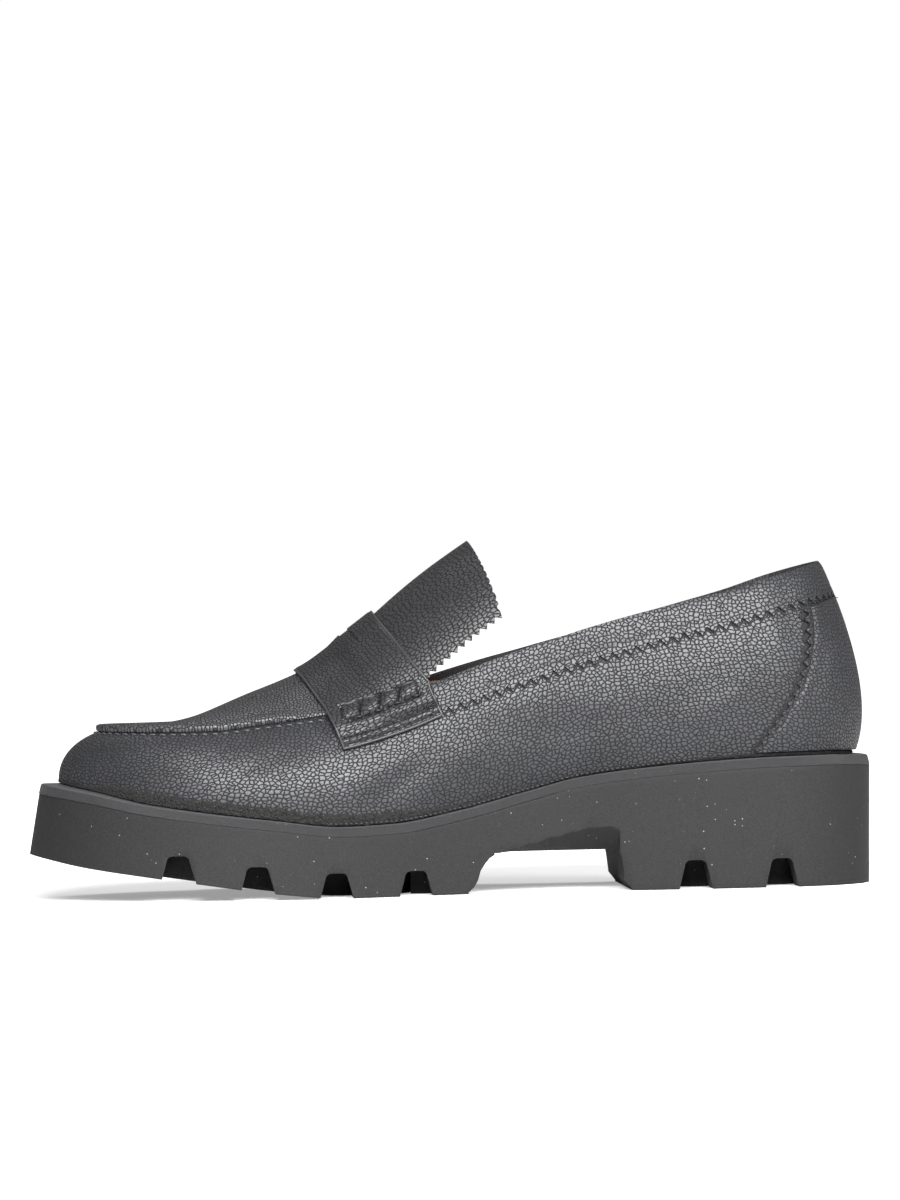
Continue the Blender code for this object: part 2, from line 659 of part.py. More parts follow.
def build_insole(model):
    """The sock that the foot stands on, inside the upper."""
    turns = ring_turns(np.linspace(0, 0.5, 31))
    ledge = smooth(SOLE, "ledge", share_of(turns)) + WALL + INSOLE_CLEARANCE
    edge = sole_edge(turns, -ledge)
    low = welt_top(turns) + GAP + INSOLE_SEAT
    rings = [with_height(edge, low), with_height(edge, low + INSOLE_THICK)]
    return slab("insole", rings, "tan_lining", model)


def build_upper(model):
    """The hollow upper, open at its collar and underneath."""
    throat = float(seam_turn(THROAT_SEAM_X))
    behind = np.linspace(0, throat, 18)
    before = np.linspace(throat, 0.5, 16)
    turns = np.concatenate([behind[:-1], before, 1 - before[-2::-1], 1 - behind[-2::-1]])
    wall_levels = np.linspace(0, 1, 12)
    wall = skin(turns[:, None], wall_levels[None, :])
    vamp_turns = np.concatenate([before, 1 - before[-2::-1]])
    vamp = skin(vamp_turns[:, None], np.linspace(1, 2, 8)[None, :])
    return shell("upper", [wall, vamp], WALL, -1, "black_leather", model)


def apron_lift(turns, levels):
    """How far the apron's outside stands off the upper: it swells into a lip at its sewn edge."""
    seam_x = TOPLINE_BACK_X + (SEAM_TIP_X - TOPLINE_BACK_X) * share_of(turns)
    strength = 1 - step_up(seam_x, *LIP_FADE)
    bump = np.exp(-((levels - LIP_LEVEL) / LIP_SPREAD) ** 4)
    return GAP + APRON_THICK + LIP_RISE * strength * bump


def build_apron(model):
    """The plug sewn into the vamp, with its raised lip."""
    inner = np.linspace(float(seam_turn(APRON_BACK_X)), 0.5, 20)
    turns = np.concatenate([inner, 1 - inner[-2::-1]])[:, None]
    levels = np.array(APRON_LEVELS)[None, :]
    low = lifted(turns, levels, GAP)
    high = lifted(turns, levels, apron_lift(turns, levels))
    return layer("apron", low, high, "black_leather", model)


def across(values):
    """Values from the inner side over the ridge to the outer side, and which are on the outer side."""
    values = np.asarray(values)
    mirrored = np.concatenate([values, values[..., -2::-1]], axis=-1)
    return mirrored, np.arange(mirrored.shape[-1]) >= values.shape[-1]


def strap_station(u, place):
    """Station between the strap's front (0) and rear (1) edges, from tab foot (0) to ridge (2)."""
    front, rear = smooth(STRAP_EDGES, "front", place), smooth(STRAP_EDGES, "rear", place)
    return front + (rear - front) * u


def build_strap(model, cutters):
    """The saddle strap over the vamp, its two tabs swelling into rolls, with the slot on top."""
    u = np.linspace(1, 0, 9)[:, None]
    foot_level = STRAP_TAB_LEVEL_FRONT + (STRAP_TAB_LEVEL_REAR - STRAP_TAB_LEVEL_FRONT) * u
    tab_spans = np.array(STRAP_SPANS)[None, :]
    top_levels = np.array(STRAP_LEVELS)[None, :] + 0 * u
    spans, outer = across(np.concatenate([tab_spans + 0 * u, top_levels], axis=1))
    levels, _ = across(np.concatenate([foot_level + (1 - foot_level) * tab_spans, top_levels], axis=1))
    turns = seam_turn(strap_station(u, spans))
    turns = np.where(outer[None, :], 1 - turns, turns)
    rise = step_up(spans, *STRAP_RISE)
    middle, width = sum(ROLL_SPANS) / 2, (ROLL_SPANS[1] - ROLL_SPANS[0]) / 2
    roll = np.sqrt(np.clip(1 - ((spans - middle) / width) ** 2, 0, 1))
    step = STRAP_STEP_FRONT + (STRAP_STEP_REAR - STRAP_STEP_FRONT) * step_up(u, *STRAP_STEP_SPAN)
    low = 2 * GAP + step * rise
    low_grid = lifted(turns, levels, low)
    high_grid = lifted(turns, levels, low + STRAP_THICK + ROLL_RISE * roll)
    strap = layer("saddle_strap", low_grid, high_grid, "black_leather", model)
    place = lifted(float(seam_turn(SLOT_X)), 2.0, STRAP_STEP_FRONT + STRAP_THICK)
    bpy.ops.mesh.primitive_cube_add(size=1, location=place * MM, rotation=(0, -TONGUE_SLOPE, 0))
    slot = bpy.context.object
    slot.name = "cut_slot"
    slot.scale = (SLOT_WIDTH * MM, SLOT_LENGTH * MM, 30 * MM)
    for holder in list(slot.users_collection):
        holder.objects.unlink(slot)
    cutters.objects.link(slot)
    cut(strap, slot)
    return strap


def tongue_point(turn_side, level, along, lift):
    """Point of the tongue: on the vamp before the throat, and along the instep's slope behind it."""
    on_vamp = np.minimum(along, 0.0)
    seam_x = THROAT_SEAM_X + on_vamp * math.cos(TONGUE_SLOPE) / RIDGE_PER_SEAM
    turns = seam_turn(seam_x)
    turns = np.where(turn_side, 1 - turns, turns)
    way = np.array([math.cos(TONGUE_SLOPE), 0.0, math.sin(TONGUE_SLOPE)])
    free = np.expand_dims(np.maximum(along, 0.0), -1)
    bow = TONGUE_BOW * np.sin(math.pi * np.clip(free / TONGUE_LENGTH, 0, 1))
    return lifted(turns, level, lift) + free * way + bow * np.array([-way[2], 0.0, way[0]])


def build_tongue(model):
    """The tongue: a narrow root under the strap and an arched flap that rises out of the throat."""
    levels, outer = across(TONGUE_LEVELS)
    levels, outer = levels[None, :], outer[None, :]
    q = (2 - levels) / (2 - TONGUE_LEVELS[0])
    end = TONGUE_LENGTH - TONGUE_CORNER_CUT * q**2
    root = np.array([-11.0, -5.5, TONGUE_START])[:, None]
    free = np.linspace(0, 1, 10)[1:, None]
    along = np.concatenate([root + 0 * end, TONGUE_START + (end - TONGUE_START) * free])
    levels = np.broadcast_to(levels, along.shape)
    outer = np.broadcast_to(outer, along.shape)
    low = tongue_point(outer, levels, along, np.full(along.shape, GAP))
    keep = np.ones((along.shape[0] - 1, along.shape[1] - 1), bool)
    narrow = (levels[0, :-1] >= TONGUE_ROOT_LEVEL) & (levels[0, 1:] >= TONGUE_ROOT_LEVEL)
    keep[:2] = narrow
    return shell("tongue", [low[::-1]], TONGUE_THICK, 1, "black_leather", model, [keep[::-1]])


def wall_length(turns):
    """Length of a section's wall."""
    marks = skin(turns[:, None], np.linspace(0, 1, 12)[None, :])
    return np.linalg.norm(np.diff(marks, axis=1), axis=2).sum(axis=1)


def build_collar_strip(model):
    """The strip sewn round the topline."""
    rows = np.linspace(0, 1, 4)
    tab_share = (1 - rows) * COLLAR_FRONT_SHARE
    front = seam_turn(strap_station(1, 1 - tab_share) + 2 * GAP)
    turns = np.linspace(-1, 1, 45)[:, None] * front[None, :]
    low_level = 1 - COLLAR_WIDTH / wall_length(turns.mean(axis=1))
    levels = low_level[:, None] + (COLLAR_TOP - low_level[:, None]) * rows[None, :]
    grid = lifted(turns, levels, GAP)
    return shell("collar_strip", [grid], COLLAR_THICK, 1, "black_leather", model)


def counter_turn(level):
    """Turn on the inner side at which the counter's front edge stands, at a level."""
    wanted = smooth(COUNTER_EDGE, "x", level)
    turns = np.linspace(0.02, 0.22, 60)
    stations = skin(turns, level)[:, 0]
    return float(np.interp(-wanted, -stations, turns))


def build_counter(model):
    """The piece that backs the heel, below the collar strip."""
    count = 19
    top = 1 - (COLLAR_WIDTH + 0.5) / wall_length(np.linspace(-0.13, 0.13, count))
    steps = np.linspace(0, 1, 9)
    levels = COUNTER_FOOT + (top[:, None] - COUNTER_FOOT) * steps[None, :]
    reach = np.array([counter_turn(level) for level in levels.mean(axis=0)])
    turns = np.linspace(-1, 1, count)[:, None] * reach[None, :]
    grid = lifted(turns, levels, COUNTER_GAP)
    return shell("heel_counter", [grid], COUNTER_THICK, 1, "black_leather", model)


def main():
    """Builds every piece."""
    for old in list(bpy.data.objects):
        bpy.data.objects.remove(old)
    model = bpy.data.collections.new("lug_sole_loafer")
    cutters = bpy.data.collections.new("cutters")
    bpy.context.scene.collection.children.link(model)
    bpy.context.scene.collection.children.link(cutters)
    build_outsole(model, cutters)
    build_midsole(model)
    build_insole(model)
    build_upper(model)
    build_apron(model)
    build_tongue(model)
    build_strap(model, cutters)
    build_collar_strip(model)
    build_counter(model)


main()
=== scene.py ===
import logging
import math
from collections import namedtuple
from collections.abc import Callable
from dataclasses import dataclass, field
from enum import Enum
from functools import cached_property

import bpy
import numpy as np
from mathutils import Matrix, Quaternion, Vector


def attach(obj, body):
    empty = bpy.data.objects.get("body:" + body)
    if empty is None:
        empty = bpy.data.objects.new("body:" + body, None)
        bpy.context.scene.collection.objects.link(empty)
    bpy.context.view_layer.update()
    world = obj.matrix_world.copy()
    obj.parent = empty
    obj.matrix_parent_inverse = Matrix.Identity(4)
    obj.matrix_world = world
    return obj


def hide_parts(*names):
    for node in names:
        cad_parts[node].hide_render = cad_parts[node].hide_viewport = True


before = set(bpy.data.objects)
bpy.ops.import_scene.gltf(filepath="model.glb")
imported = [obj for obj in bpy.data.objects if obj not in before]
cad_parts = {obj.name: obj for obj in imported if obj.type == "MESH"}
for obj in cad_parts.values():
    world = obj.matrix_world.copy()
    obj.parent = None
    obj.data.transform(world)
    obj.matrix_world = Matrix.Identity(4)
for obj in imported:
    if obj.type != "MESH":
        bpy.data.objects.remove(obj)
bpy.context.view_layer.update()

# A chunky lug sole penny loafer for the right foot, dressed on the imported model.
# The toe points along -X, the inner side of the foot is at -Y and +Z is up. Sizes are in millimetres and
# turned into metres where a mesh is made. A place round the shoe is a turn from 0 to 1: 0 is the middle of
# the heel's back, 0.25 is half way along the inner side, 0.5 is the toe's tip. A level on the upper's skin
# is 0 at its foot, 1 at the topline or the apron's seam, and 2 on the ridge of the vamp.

LOG = logging.getLogger("loafer")
MM = 0.001
BODY = "root"
GRAIN = "grain_place"

SoleRow = namedtuple("SoleRow", "share centre half top drop tread flare ledge")
SeamRow = namedtuple("SeamRow", "share centre half height drop roof")
RidgeRow = namedtuple("RidgeRow", "x height")
WallRow = namedtuple("WallRow", "share lean_in lean_out foot_reach top_lean top_reach")
StrapRow = namedtuple("StrapRow", "place front rear")
EdgeRow = namedtuple("EdgeRow", "level x")
Groove = namedtuple("Groove", "width depth")
Softbox = namedtuple("Softbox", "name place size power")
Crease = namedtuple("Crease", "x z angle length width depth side")


class Slot(Enum):
    """Material slots, which each finish names."""

    LEATHER = "black_leather"
    LINING = "tan_lining"
    RUBBER = "sole_rubber"
    WELT = "welt_rubber"


class Side(Enum):
    """A side of the foot, with the sign of Y there."""

    INNER = -1.0
    OUTER = 1.0


@dataclass(frozen=True)
class LeatherFinish:
    """How a leather looks: its colour, the width and depth of its pebbles, and how much shade is painted
    into the valleys between them.
    """

    name: str
    colour: tuple[float, float, float]
    roughness: float = 0.46
    pebble_mm: float = 1.5
    pebble_depth_mm: float = 0.15
    valley_shade: float = 0.72
    stretch: tuple[float, float] = (1.0, 1.2)
    gloss: float = 0.5
    gloss_roughness: float = 0.40
    slot: Slot = Slot.LEATHER


@dataclass(frozen=True)
class RubberFinish:
    """How a rubber looks: its colour, its specks, and whether it shows trimming lines."""

    name: str
    colour: tuple[float, float, float]
    speck_colour: tuple[float, float, float]
    roughness: float
    specular: float
    trimmed: bool = False
    grit_depth_mm: float = 0.08
    slot: Slot = Slot.RUBBER


@dataclass(frozen=True)
class ClothFinish:
    """How a thread, a raw edge, a lining or a sheet of painted shadow looks."""

    name: str
    colour: tuple[float, float, float]
    roughness: float
    grain_mm: float
    grain_depth_mm: float = 0.06
    slot: Slot = Slot.LEATHER


BLACK = LeatherFinish("pebbled_black", (0.023, 0.0235, 0.0275))
# The strap's leather is the upper's black coloured darker: painted shade, as the strap faces upwards.
STRAP_BLACK_PAINTED_SHADE = LeatherFinish(
    "pebbled_black_strap",
    (0.017, 0.0172, 0.020),
    pebble_mm=1.35,
    pebble_depth_mm=0.13,
    valley_shade=0.85,
    stretch=(1.0, 1.4),
)
# The apron's leather is the upper's black coloured about twice as light: painted light.
APRON_BLACK_PAINTED_LIGHT = LeatherFinish(
    "pebbled_black_apron",
    (0.046, 0.0465, 0.050),
    roughness=0.50,
    pebble_mm=1.35,
    pebble_depth_mm=0.16,
    valley_shade=0.88,
    stretch=(1.2, 1.0),
)
TONGUE_BLACK = LeatherFinish(
    "pebbled_black_tongue",
    (0.022, 0.0222, 0.025),
    pebble_mm=1.4,
    pebble_depth_mm=0.14,
    valley_shade=0.85,
    stretch=(0.8, 1.3),
)
SMOOTH_FOLD = LeatherFinish("folded_edge", (0.024, 0.024, 0.026), 0.42, 1.2, 0.03, 0.3)
RUBBER = RubberFinish("speckled_rubber", (0.0135, 0.0135, 0.0138), (0.26, 0.25, 0.22), 0.66, 0.22)
BAND = RubberFinish(
    "trimmed_band",
    (0.021, 0.021, 0.0222),
    (0.14, 0.135, 0.13),
    0.46,
    0.42,
    trimmed=True,
    slot=Slot.WELT,
)
# Near-black, for the sheets under the pinked edges: painted shadow.
SHADE = ClothFinish("painted_shadow_edge", (0.006, 0.006, 0.0065), 0.8, 0.3)
THREAD = ClothFinish("black_thread", (0.012, 0.012, 0.013), 0.5, 0.3)
# Lighter than the black thread: painted sheen on the seam's stitches.
SEAM_THREAD = ClothFinish("seam_thread_painted_sheen", (0.055, 0.055, 0.06), 0.34, 0.3)
FIBRE = ClothFinish("raw_edge", (0.0095, 0.009, 0.009), 0.9, 0.45, 0.4)
HAIR = ClothFinish("loose_fibres", (0.075, 0.060, 0.042), 0.8, 0.3)
TAN = ClothFinish("tan_lining", (0.50, 0.28, 0.17), 0.6, 0.9, slot=Slot.LINING)

Finish = LeatherFinish | RubberFinish | ClothFinish


def tint(colour: tuple[float, float, float], factor: float = 1.0) -> tuple[float, ...]:
    """A colour made darker or lighter, as a shader's socket takes it."""
    return (*(part * factor for part in colour), 1.0)


def smooth(rows: tuple, key: str, place: np.ndarray) -> np.ndarray:
    """A column's value at a place on the first column: a cubic through the rows, with no overshoot.

    Args:
        rows: the table's rows.
        key: the column.
        place: where the value is wanted.

    Returns:
        The value at each place.
    """
    xs = np.array([row[0] for row in rows])
    ys = np.array([getattr(row, key) for row in rows])
    widths = np.diff(xs)
    slopes = np.diff(ys) / widths
    tangents = np.zeros(len(xs))
    tangents[0], tangents[-1] = slopes[0], slopes[-1]
    same_way = slopes[:-1] * slopes[1:] > 0
    both = np.where(same_way, slopes[:-1] + slopes[1:], 1.0)
    tangents[1:-1] = np.where(same_way, 2 * slopes[:-1] * slopes[1:] / both, 0.0)
    place = np.clip(place, xs[0], xs[-1])
    i = np.clip(np.searchsorted(xs, place) - 1, 0, len(xs) - 2)
    t = (place - xs[i]) / widths[i]
    ease = t * t * (3 - 2 * t)
    start = tangents[i] * t * (1 - t) ** 2
    end = tangents[i + 1] * t * t * (t - 1)
    return ys[i] + (ys[i + 1] - ys[i]) * ease + widths[i] * (start + end)


def step_up(value: np.ndarray, low: float, high: float) -> np.ndarray:
    """0 below low, 1 above high, and an even ease between."""
    t = np.clip((value - low) / (high - low), 0, 1)
    return t * t * (3 - 2 * t)


def with_height(plan: np.ndarray, height: np.ndarray) -> np.ndarray:
    """Points from plan points and heights."""
    return np.concatenate([plan, np.expand_dims(np.broadcast_to(height, plan.shape[:-1]), -1)], axis=-1)


def teeth(along: np.ndarray, pitch: float) -> np.ndarray:
    """A pinked edge's outline: 0 in the notches and 1 at the tips, at distances along the edge."""
    return 1 - np.abs((along / pitch) % 1.0 * 2 - 1)


def bell(distance: np.ndarray, width: float, power: int = 2) -> np.ndarray:
    """1 at no distance, and soon 0 past a width; a high power makes its top flat."""
    return np.exp(-(np.abs(distance / width) ** power))


def passed_along(line: np.ndarray) -> np.ndarray:
    """Length passed at each point of a line."""
    return np.concatenate([[0], np.cumsum(np.linalg.norm(np.diff(line, axis=0), axis=1))])


def side_of(turn: np.ndarray) -> np.ndarray:
    """-1 on the inner side of the foot and 1 on the outer side."""
    return np.where(np.sin(2 * math.pi * turn) >= 0, -1.0, 1.0)


@dataclass
class Last:
    """The shape that the shoe is built on, as a surface of turn and level."""

    heel_x: float = 136.3
    toe_x: float = -133.0
    heel_round: tuple[float, float] = (0.125, 2.2)
    toe_round: tuple[float, float] = (0.26, 2.1)
    topline_back_x: float = 120.3
    seam_tip_x: float = -112.8
    topline_heel_round: tuple[float, float] = (0.11, 2.2)
    seam_toe_round: tuple[float, float] = (0.17, 2.1)
    throat_seam_x: float = -8.0
    throat_ridge_x: float = -24.5
    ridge_per_seam: float = 0.665
    ridge_stretch: float = 1.2
    gap: float = 0.3
    toe_margin: float = 0.006
    turn_step: float = 0.003
    level_step: float = 0.02
    crease_sag: float = 0.0036
    crease_fade: float = 1.5
    crease_gain: float = 1.4
    crease_inset: tuple[float, float] = (4.0, 14.0)
    bank_height: float = 0.4
    bank_spread: float = 2.2
    sole: tuple = (
        SoleRow(0.00, 0.0, 33.0, 41.3, 0.0, 0.0, -0.9, 6.4),
        SoleRow(0.05, 0.0, 33.3, 41.9, 0.0, 0.0, -0.8, 5.4),
        SoleRow(0.12, 0.2, 33.7, 41.7, 0.0, 0.0, -0.5, 4.5),
        SoleRow(0.20, 0.5, 34.5, 40.8, 0.3, 0.0, 0.0, 3.6),
        SoleRow(0.30, 2.2, 33.8, 38.6, 1.2, 0.0, 0.0, 3.0),
        SoleRow(0.36, 3.5, 33.0, 36.4, 2.0, 0.0, 0.0, 2.7),
        SoleRow(0.42, 4.3, 33.7, 32.3, 2.2, 0.0, 0.0, 2.6),
        SoleRow(0.50, 4.2, 37.3, 26.8, 1.2, 0.0, 0.3, 3.0),
        SoleRow(0.58, 3.0, 42.0, 23.1, 0.4, 0.0, 0.8, 3.4),
        SoleRow(0.64, 1.7, 44.8, 22.6, 0.0, 0.0, 1.0, 3.8),
        SoleRow(0.72, -0.3, 45.8, 25.0, 0.0, 1.9, 1.2, 4.2),
        SoleRow(0.80, -1.3, 44.7, 27.7, 0.0, 5.1, 1.6, 4.6),
        SoleRow(0.88, -2.5, 43.0, 31.0, 0.0, 8.4, 2.2, 5.2),
        SoleRow(0.94, -3.5, 42.0, 34.6, 0.0, 11.1, 2.8, 6.0),
        SoleRow(1.00, -4.5, 41.0, 37.5, 0.0, 15.0, 3.3, 6.5),
    )
    seam: tuple = (
        SeamRow(0.00, 0.0, 26.0, 103.7, 0.0, 78.0),
        SeamRow(0.06, 0.0, 26.8, 100.1, 0.3, 78.0),
        SeamRow(0.12, 0.2, 27.4, 96.1, 0.8, 78.0),
        SeamRow(0.20, 0.6, 28.4, 91.9, 1.6, 78.0),
        SeamRow(0.30, 1.5, 29.6, 86.1, 2.0, 78.0),
        SeamRow(0.40, 2.0, 30.8, 79.2, 1.2, 78.0),
        SeamRow(0.47, 2.0, 31.2, 73.8, 0.0, 78.0),
        SeamRow(0.54, 1.8, 30.7, 68.0, -1.0, 78.0),
        SeamRow(0.62, 1.3, 29.6, 62.6, 0.0, 68.0),
        SeamRow(0.70, 0.4, 28.6, 58.8, 0.0, 52.0),
        SeamRow(0.78, -0.9, 27.8, 56.0, 0.0, 30.0),
        SeamRow(0.85, -2.2, 27.4, 54.1, 0.0, 15.0),
        SeamRow(0.92, -3.4, 27.0, 53.9, 0.0, 10.0),
        SeamRow(1.00, -4.6, 26.0, 54.1, 0.0, 8.0),
    )
    ridge: tuple = (
        RidgeRow(-98.0, 53.2),
        RidgeRow(-90.0, 54.0),
        RidgeRow(-84.0, 55.7),
        RidgeRow(-75.4, 59.4),
        RidgeRow(-65.0, 63.7),
        RidgeRow(-54.6, 67.6),
        RidgeRow(-46.0, 71.4),
        RidgeRow(-36.0, 78.2),
        RidgeRow(-24.0, 87.0),
        RidgeRow(-16.0, 93.1),
    )
    walls: tuple = (
        WallRow(0.00, 27.0, 27.0, 15.5, 24.0, 25.0),
        WallRow(0.05, 23.0, 23.0, 17.0, 21.0, 24.0),
        WallRow(0.14, 16.0, 16.0, 19.0, 15.0, 22.0),
        WallRow(0.28, 18.0, 13.0, 18.0, 9.0, 20.0),
        WallRow(0.42, 31.0, 19.0, 17.0, 7.0, 16.0),
        WallRow(0.52, 27.0, 17.0, 15.0, 14.0, 15.0),
        WallRow(0.60, 17.0, 13.0, 13.0, 30.0, 14.0),
        WallRow(0.70, 11.0, 10.0, 11.0, 47.0, 12.5),
        WallRow(0.80, 8.0, 8.0, 9.5, 60.0, 11.0),
        WallRow(0.90, 5.0, 5.0, 8.5, 68.0, 9.0),
        WallRow(1.00, 2.0, 2.0, 9.0, 71.0, 8.0),
    )
    creases: tuple = (
        # middle's x and z, angle from level, half length, half width, depth inwards, side
        Crease(-60.0, 44.0, 22.0, 15.0, 3.0, 0.14, Side.INNER),
        Crease(-19.0, 35.5, 33.0, 18.0, 4.4, 0.62, Side.INNER),
        Crease(8.0, 38.0, 24.0, 12.0, 3.4, 0.22, Side.INNER),
        Crease(40.0, 52.0, 8.0, 26.0, 5.0, 0.45, Side.INNER),
        Crease(118.0, 74.0, 82.0, 15.0, 3.4, 0.65, Side.INNER),
        Crease(84.0, 58.0, 30.0, 16.0, 5.0, -0.35, Side.INNER),
        Crease(20.0, 62.0, 12.0, 22.0, 6.0, -0.30, Side.INNER),
        Crease(-58.0, 42.0, 22.0, 18.0, 2.8, 0.32, Side.OUTER),
        Crease(-44.0, 36.0, 18.0, 20.0, 3.0, 0.30, Side.OUTER),
        Crease(6.0, 46.0, 30.0, 18.0, 4.0, 0.38, Side.OUTER),
        Crease(60.0, 56.0, 10.0, 28.0, 5.5, 0.40, Side.OUTER),
    )

    @property
    def seam_span(self) -> float:
        """Length of the seam line along X, towards the toe."""
        return self.seam_tip_x - self.topline_back_x

    @staticmethod
    def share_of(turn: np.ndarray) -> np.ndarray:
        """Share of the length from the heel's back."""
        return (1 - np.cos(2 * math.pi * np.asarray(turn))) / 2

    @staticmethod
    def turn_of(share: np.ndarray) -> np.ndarray:
        """Turn on the inner side at a share of the length."""
        return np.arccos(1 - 2 * np.clip(share, 0, 1)) / (2 * math.pi)

    @staticmethod
    def outer_share(turn: np.ndarray) -> np.ndarray:
        """0 on the inner side and 1 on the outer side."""
        return (1 - np.sin(2 * math.pi * turn)) / 2

    @staticmethod
    def rounding(share: np.ndarray, heel: tuple, toe: tuple) -> np.ndarray:
        """What the half width is multiplied by, so that both ends close in a round."""
        at_heel, at_toe = np.clip([1 - share / heel[0], 1 - (1 - share) / toe[0]], 0, 1)
        return (1 - at_heel ** heel[1]) ** (1 / heel[1]) * (1 - at_toe ** toe[1]) ** (1 / toe[1])

    def seam_turn(self, x: np.ndarray) -> np.ndarray:
        """Turn on the inner side whose seam point has this station."""
        return self.turn_of((x - self.topline_back_x) / self.seam_span)

    def sole_share(self, x: np.ndarray) -> np.ndarray:
        """Share of the sole's length at a station."""
        return (self.heel_x - x) / (self.heel_x - self.toe_x)

    def sole_rim(self, turn: np.ndarray) -> np.ndarray:
        """Plan point of the sole unit's upper edge.

        Args:
            turn: place round the shoe.

        Returns:
            The plan point at each place.
        """
        share = self.share_of(turn)
        half = smooth(self.sole, "half", share) * self.rounding(share, self.heel_round, self.toe_round)
        x = self.heel_x + (self.toe_x - self.heel_x) * share
        return np.stack([x, smooth(self.sole, "centre", share) + side_of(turn) * half], axis=-1)

    def seam_rim(self, turn: np.ndarray) -> np.ndarray:
        """Plan point of the topline and the apron's seam.

        Args:
            turn: place round the shoe.

        Returns:
            The plan point at each place.
        """
        share = self.share_of(turn)
        ends = self.rounding(share, self.topline_heel_round, self.seam_toe_round)
        half = smooth(self.seam, "half", share) * ends
        x = self.topline_back_x + self.seam_span * share
        return np.stack([x, smooth(self.seam, "centre", share) + side_of(turn) * half], axis=-1)

    @staticmethod
    def outward(rim: Callable, turn: np.ndarray) -> np.ndarray:
        """Outward normal of a rim in plan.

        Args:
            rim: gives the rim's plan points at each turn.
            turn: place round the shoe.

        Returns:
            The normal at each place.
        """
        step = 0.004
        along = rim(turn + step) - rim(turn - step)
        normal = np.stack([-along[..., 1], along[..., 0]], axis=-1)
        return normal / np.linalg.norm(normal, axis=-1, keepdims=True)

    def sole_edge(self, turn: np.ndarray, grow: np.ndarray) -> np.ndarray:
        """Plan point of the sole's edge, moved outwards by grow."""
        grow = np.broadcast_to(grow, np.shape(turn))
        return self.sole_rim(turn) + self.outward(self.sole_rim, turn) * np.expand_dims(grow, -1)

    def welt_top(self, turn: np.ndarray) -> np.ndarray:
        """Height of the welt's upper face at its edge."""
        share = self.share_of(turn)
        return smooth(self.sole, "top", share) - smooth(self.sole, "drop", share) * self.outer_share(turn)

    def foot_line(self, turn: np.ndarray) -> np.ndarray:
        """Where the upper meets the welt."""
        ledge = smooth(self.sole, "ledge", self.share_of(turn))
        return with_height(self.sole_edge(turn, -ledge), self.welt_top(turn) + self.gap)

    def seam_line(self, turn: np.ndarray) -> np.ndarray:
        """The topline behind the throat, and the apron's seam before it."""
        height, drop = (smooth(self.seam, key, self.share_of(turn)) for key in ("height", "drop"))
        return with_height(self.seam_rim(turn), height - drop * self.outer_share(turn))

    def ridge_line(self, turn: np.ndarray) -> np.ndarray:
        """Where the section through this turn meets the vamp's ridge.

        Args:
            turn: place round the shoe.

        Returns:
            The point at each place.
        """
        share = self.share_of(turn)
        seam_x = self.topline_back_x + self.seam_span * share
        x = self.throat_ridge_x + self.ridge_per_seam * (seam_x - self.throat_seam_x)
        return np.stack([x, smooth(self.seam, "centre", share), smooth(self.ridge, "height", x)], axis=-1)

    def wall_point(self, turn: np.ndarray, level: np.ndarray) -> np.ndarray:
        """Point of the wall between foot and seam, at a share of the section's length.

        Args:
            turn: place round the shoe.
            level: place up the section.

        Returns:
            The point at each place.
        """
        share = self.share_of(turn)
        foot, seam = self.foot_line(turn), self.seam_line(turn)
        foot_out, seam_out = self.outward(self.sole_rim, turn), self.outward(self.seam_rim, turn)
        lean_in, lean_out = smooth(self.walls, "lean_in", share), smooth(self.walls, "lean_out", share)
        foot_lean = np.radians(lean_in + (lean_out - lean_in) * self.outer_share(turn))
        top_lean = np.radians(smooth(self.walls, "top_lean", share))
        foot_way = with_height(foot_out * np.expand_dims(np.sin(foot_lean), -1), np.cos(foot_lean))
        top_way = with_height(seam_out * np.expand_dims(np.sin(top_lean), -1), -np.cos(top_lean))
        foot_pull = foot + foot_way * np.expand_dims(smooth(self.walls, "foot_reach", share), -1)
        seam_pull = seam + top_way * np.expand_dims(smooth(self.walls, "top_reach", share), -1)

        def bezier(t: np.ndarray) -> np.ndarray:
            """Point of the section's curve at a parameter."""
            t, rest = np.expand_dims(t, -1), 1 - np.expand_dims(t, -1)
            return foot * rest**3 + 3 * foot_pull * rest**2 * t + 3 * seam_pull * rest * t**2 + seam * t**3

        steps = 20
        marks = [bezier(np.full(np.shape(turn), n / steps)) for n in range(steps + 1)]
        lengths = [np.linalg.norm(b - a, axis=-1) for a, b in zip(marks, marks[1:])]
        passed = np.cumsum([np.zeros_like(lengths[0])] + lengths, axis=0)
        wanted = np.clip(level, 0, 1) * passed[-1]
        return bezier(sum(np.clip((wanted - passed[n]) / lengths[n], 0, 1) / steps for n in range(steps)))

    def vamp_point(self, turn: np.ndarray, level: np.ndarray) -> np.ndarray:
        """Point of the vamp's arc between the seam, at level 1, and the ridge, at level 2.

        Args:
            turn: place round the shoe.
            level: place up the section.

        Returns:
            The point at each place.
        """
        seam, ridge = self.seam_line(turn), self.ridge_line(turn)
        roof = np.radians(smooth(self.seam, "roof", self.share_of(turn)))
        angle = np.clip(2 - level, 0, 1) * roof
        fall = (1 - np.cos(angle)) / (1 - np.cos(roof))
        return ridge + (seam - ridge) * np.stack([fall, np.sin(angle) / np.sin(roof), fall], axis=-1)

    def skin(self, turn: np.ndarray, level: np.ndarray) -> np.ndarray:
        """Point of the upper's outer skin.

        Args:
            turn: place round the shoe.
            level: place up the section.

        Returns:
            The point at each place.
        """
        turn, level = np.broadcast_arrays(np.asarray(turn, float), np.asarray(level, float))
        vamp, wall = self.vamp_point(turn, level), self.wall_point(turn, level)
        return np.where(np.expand_dims(level > 1, -1), vamp, wall)

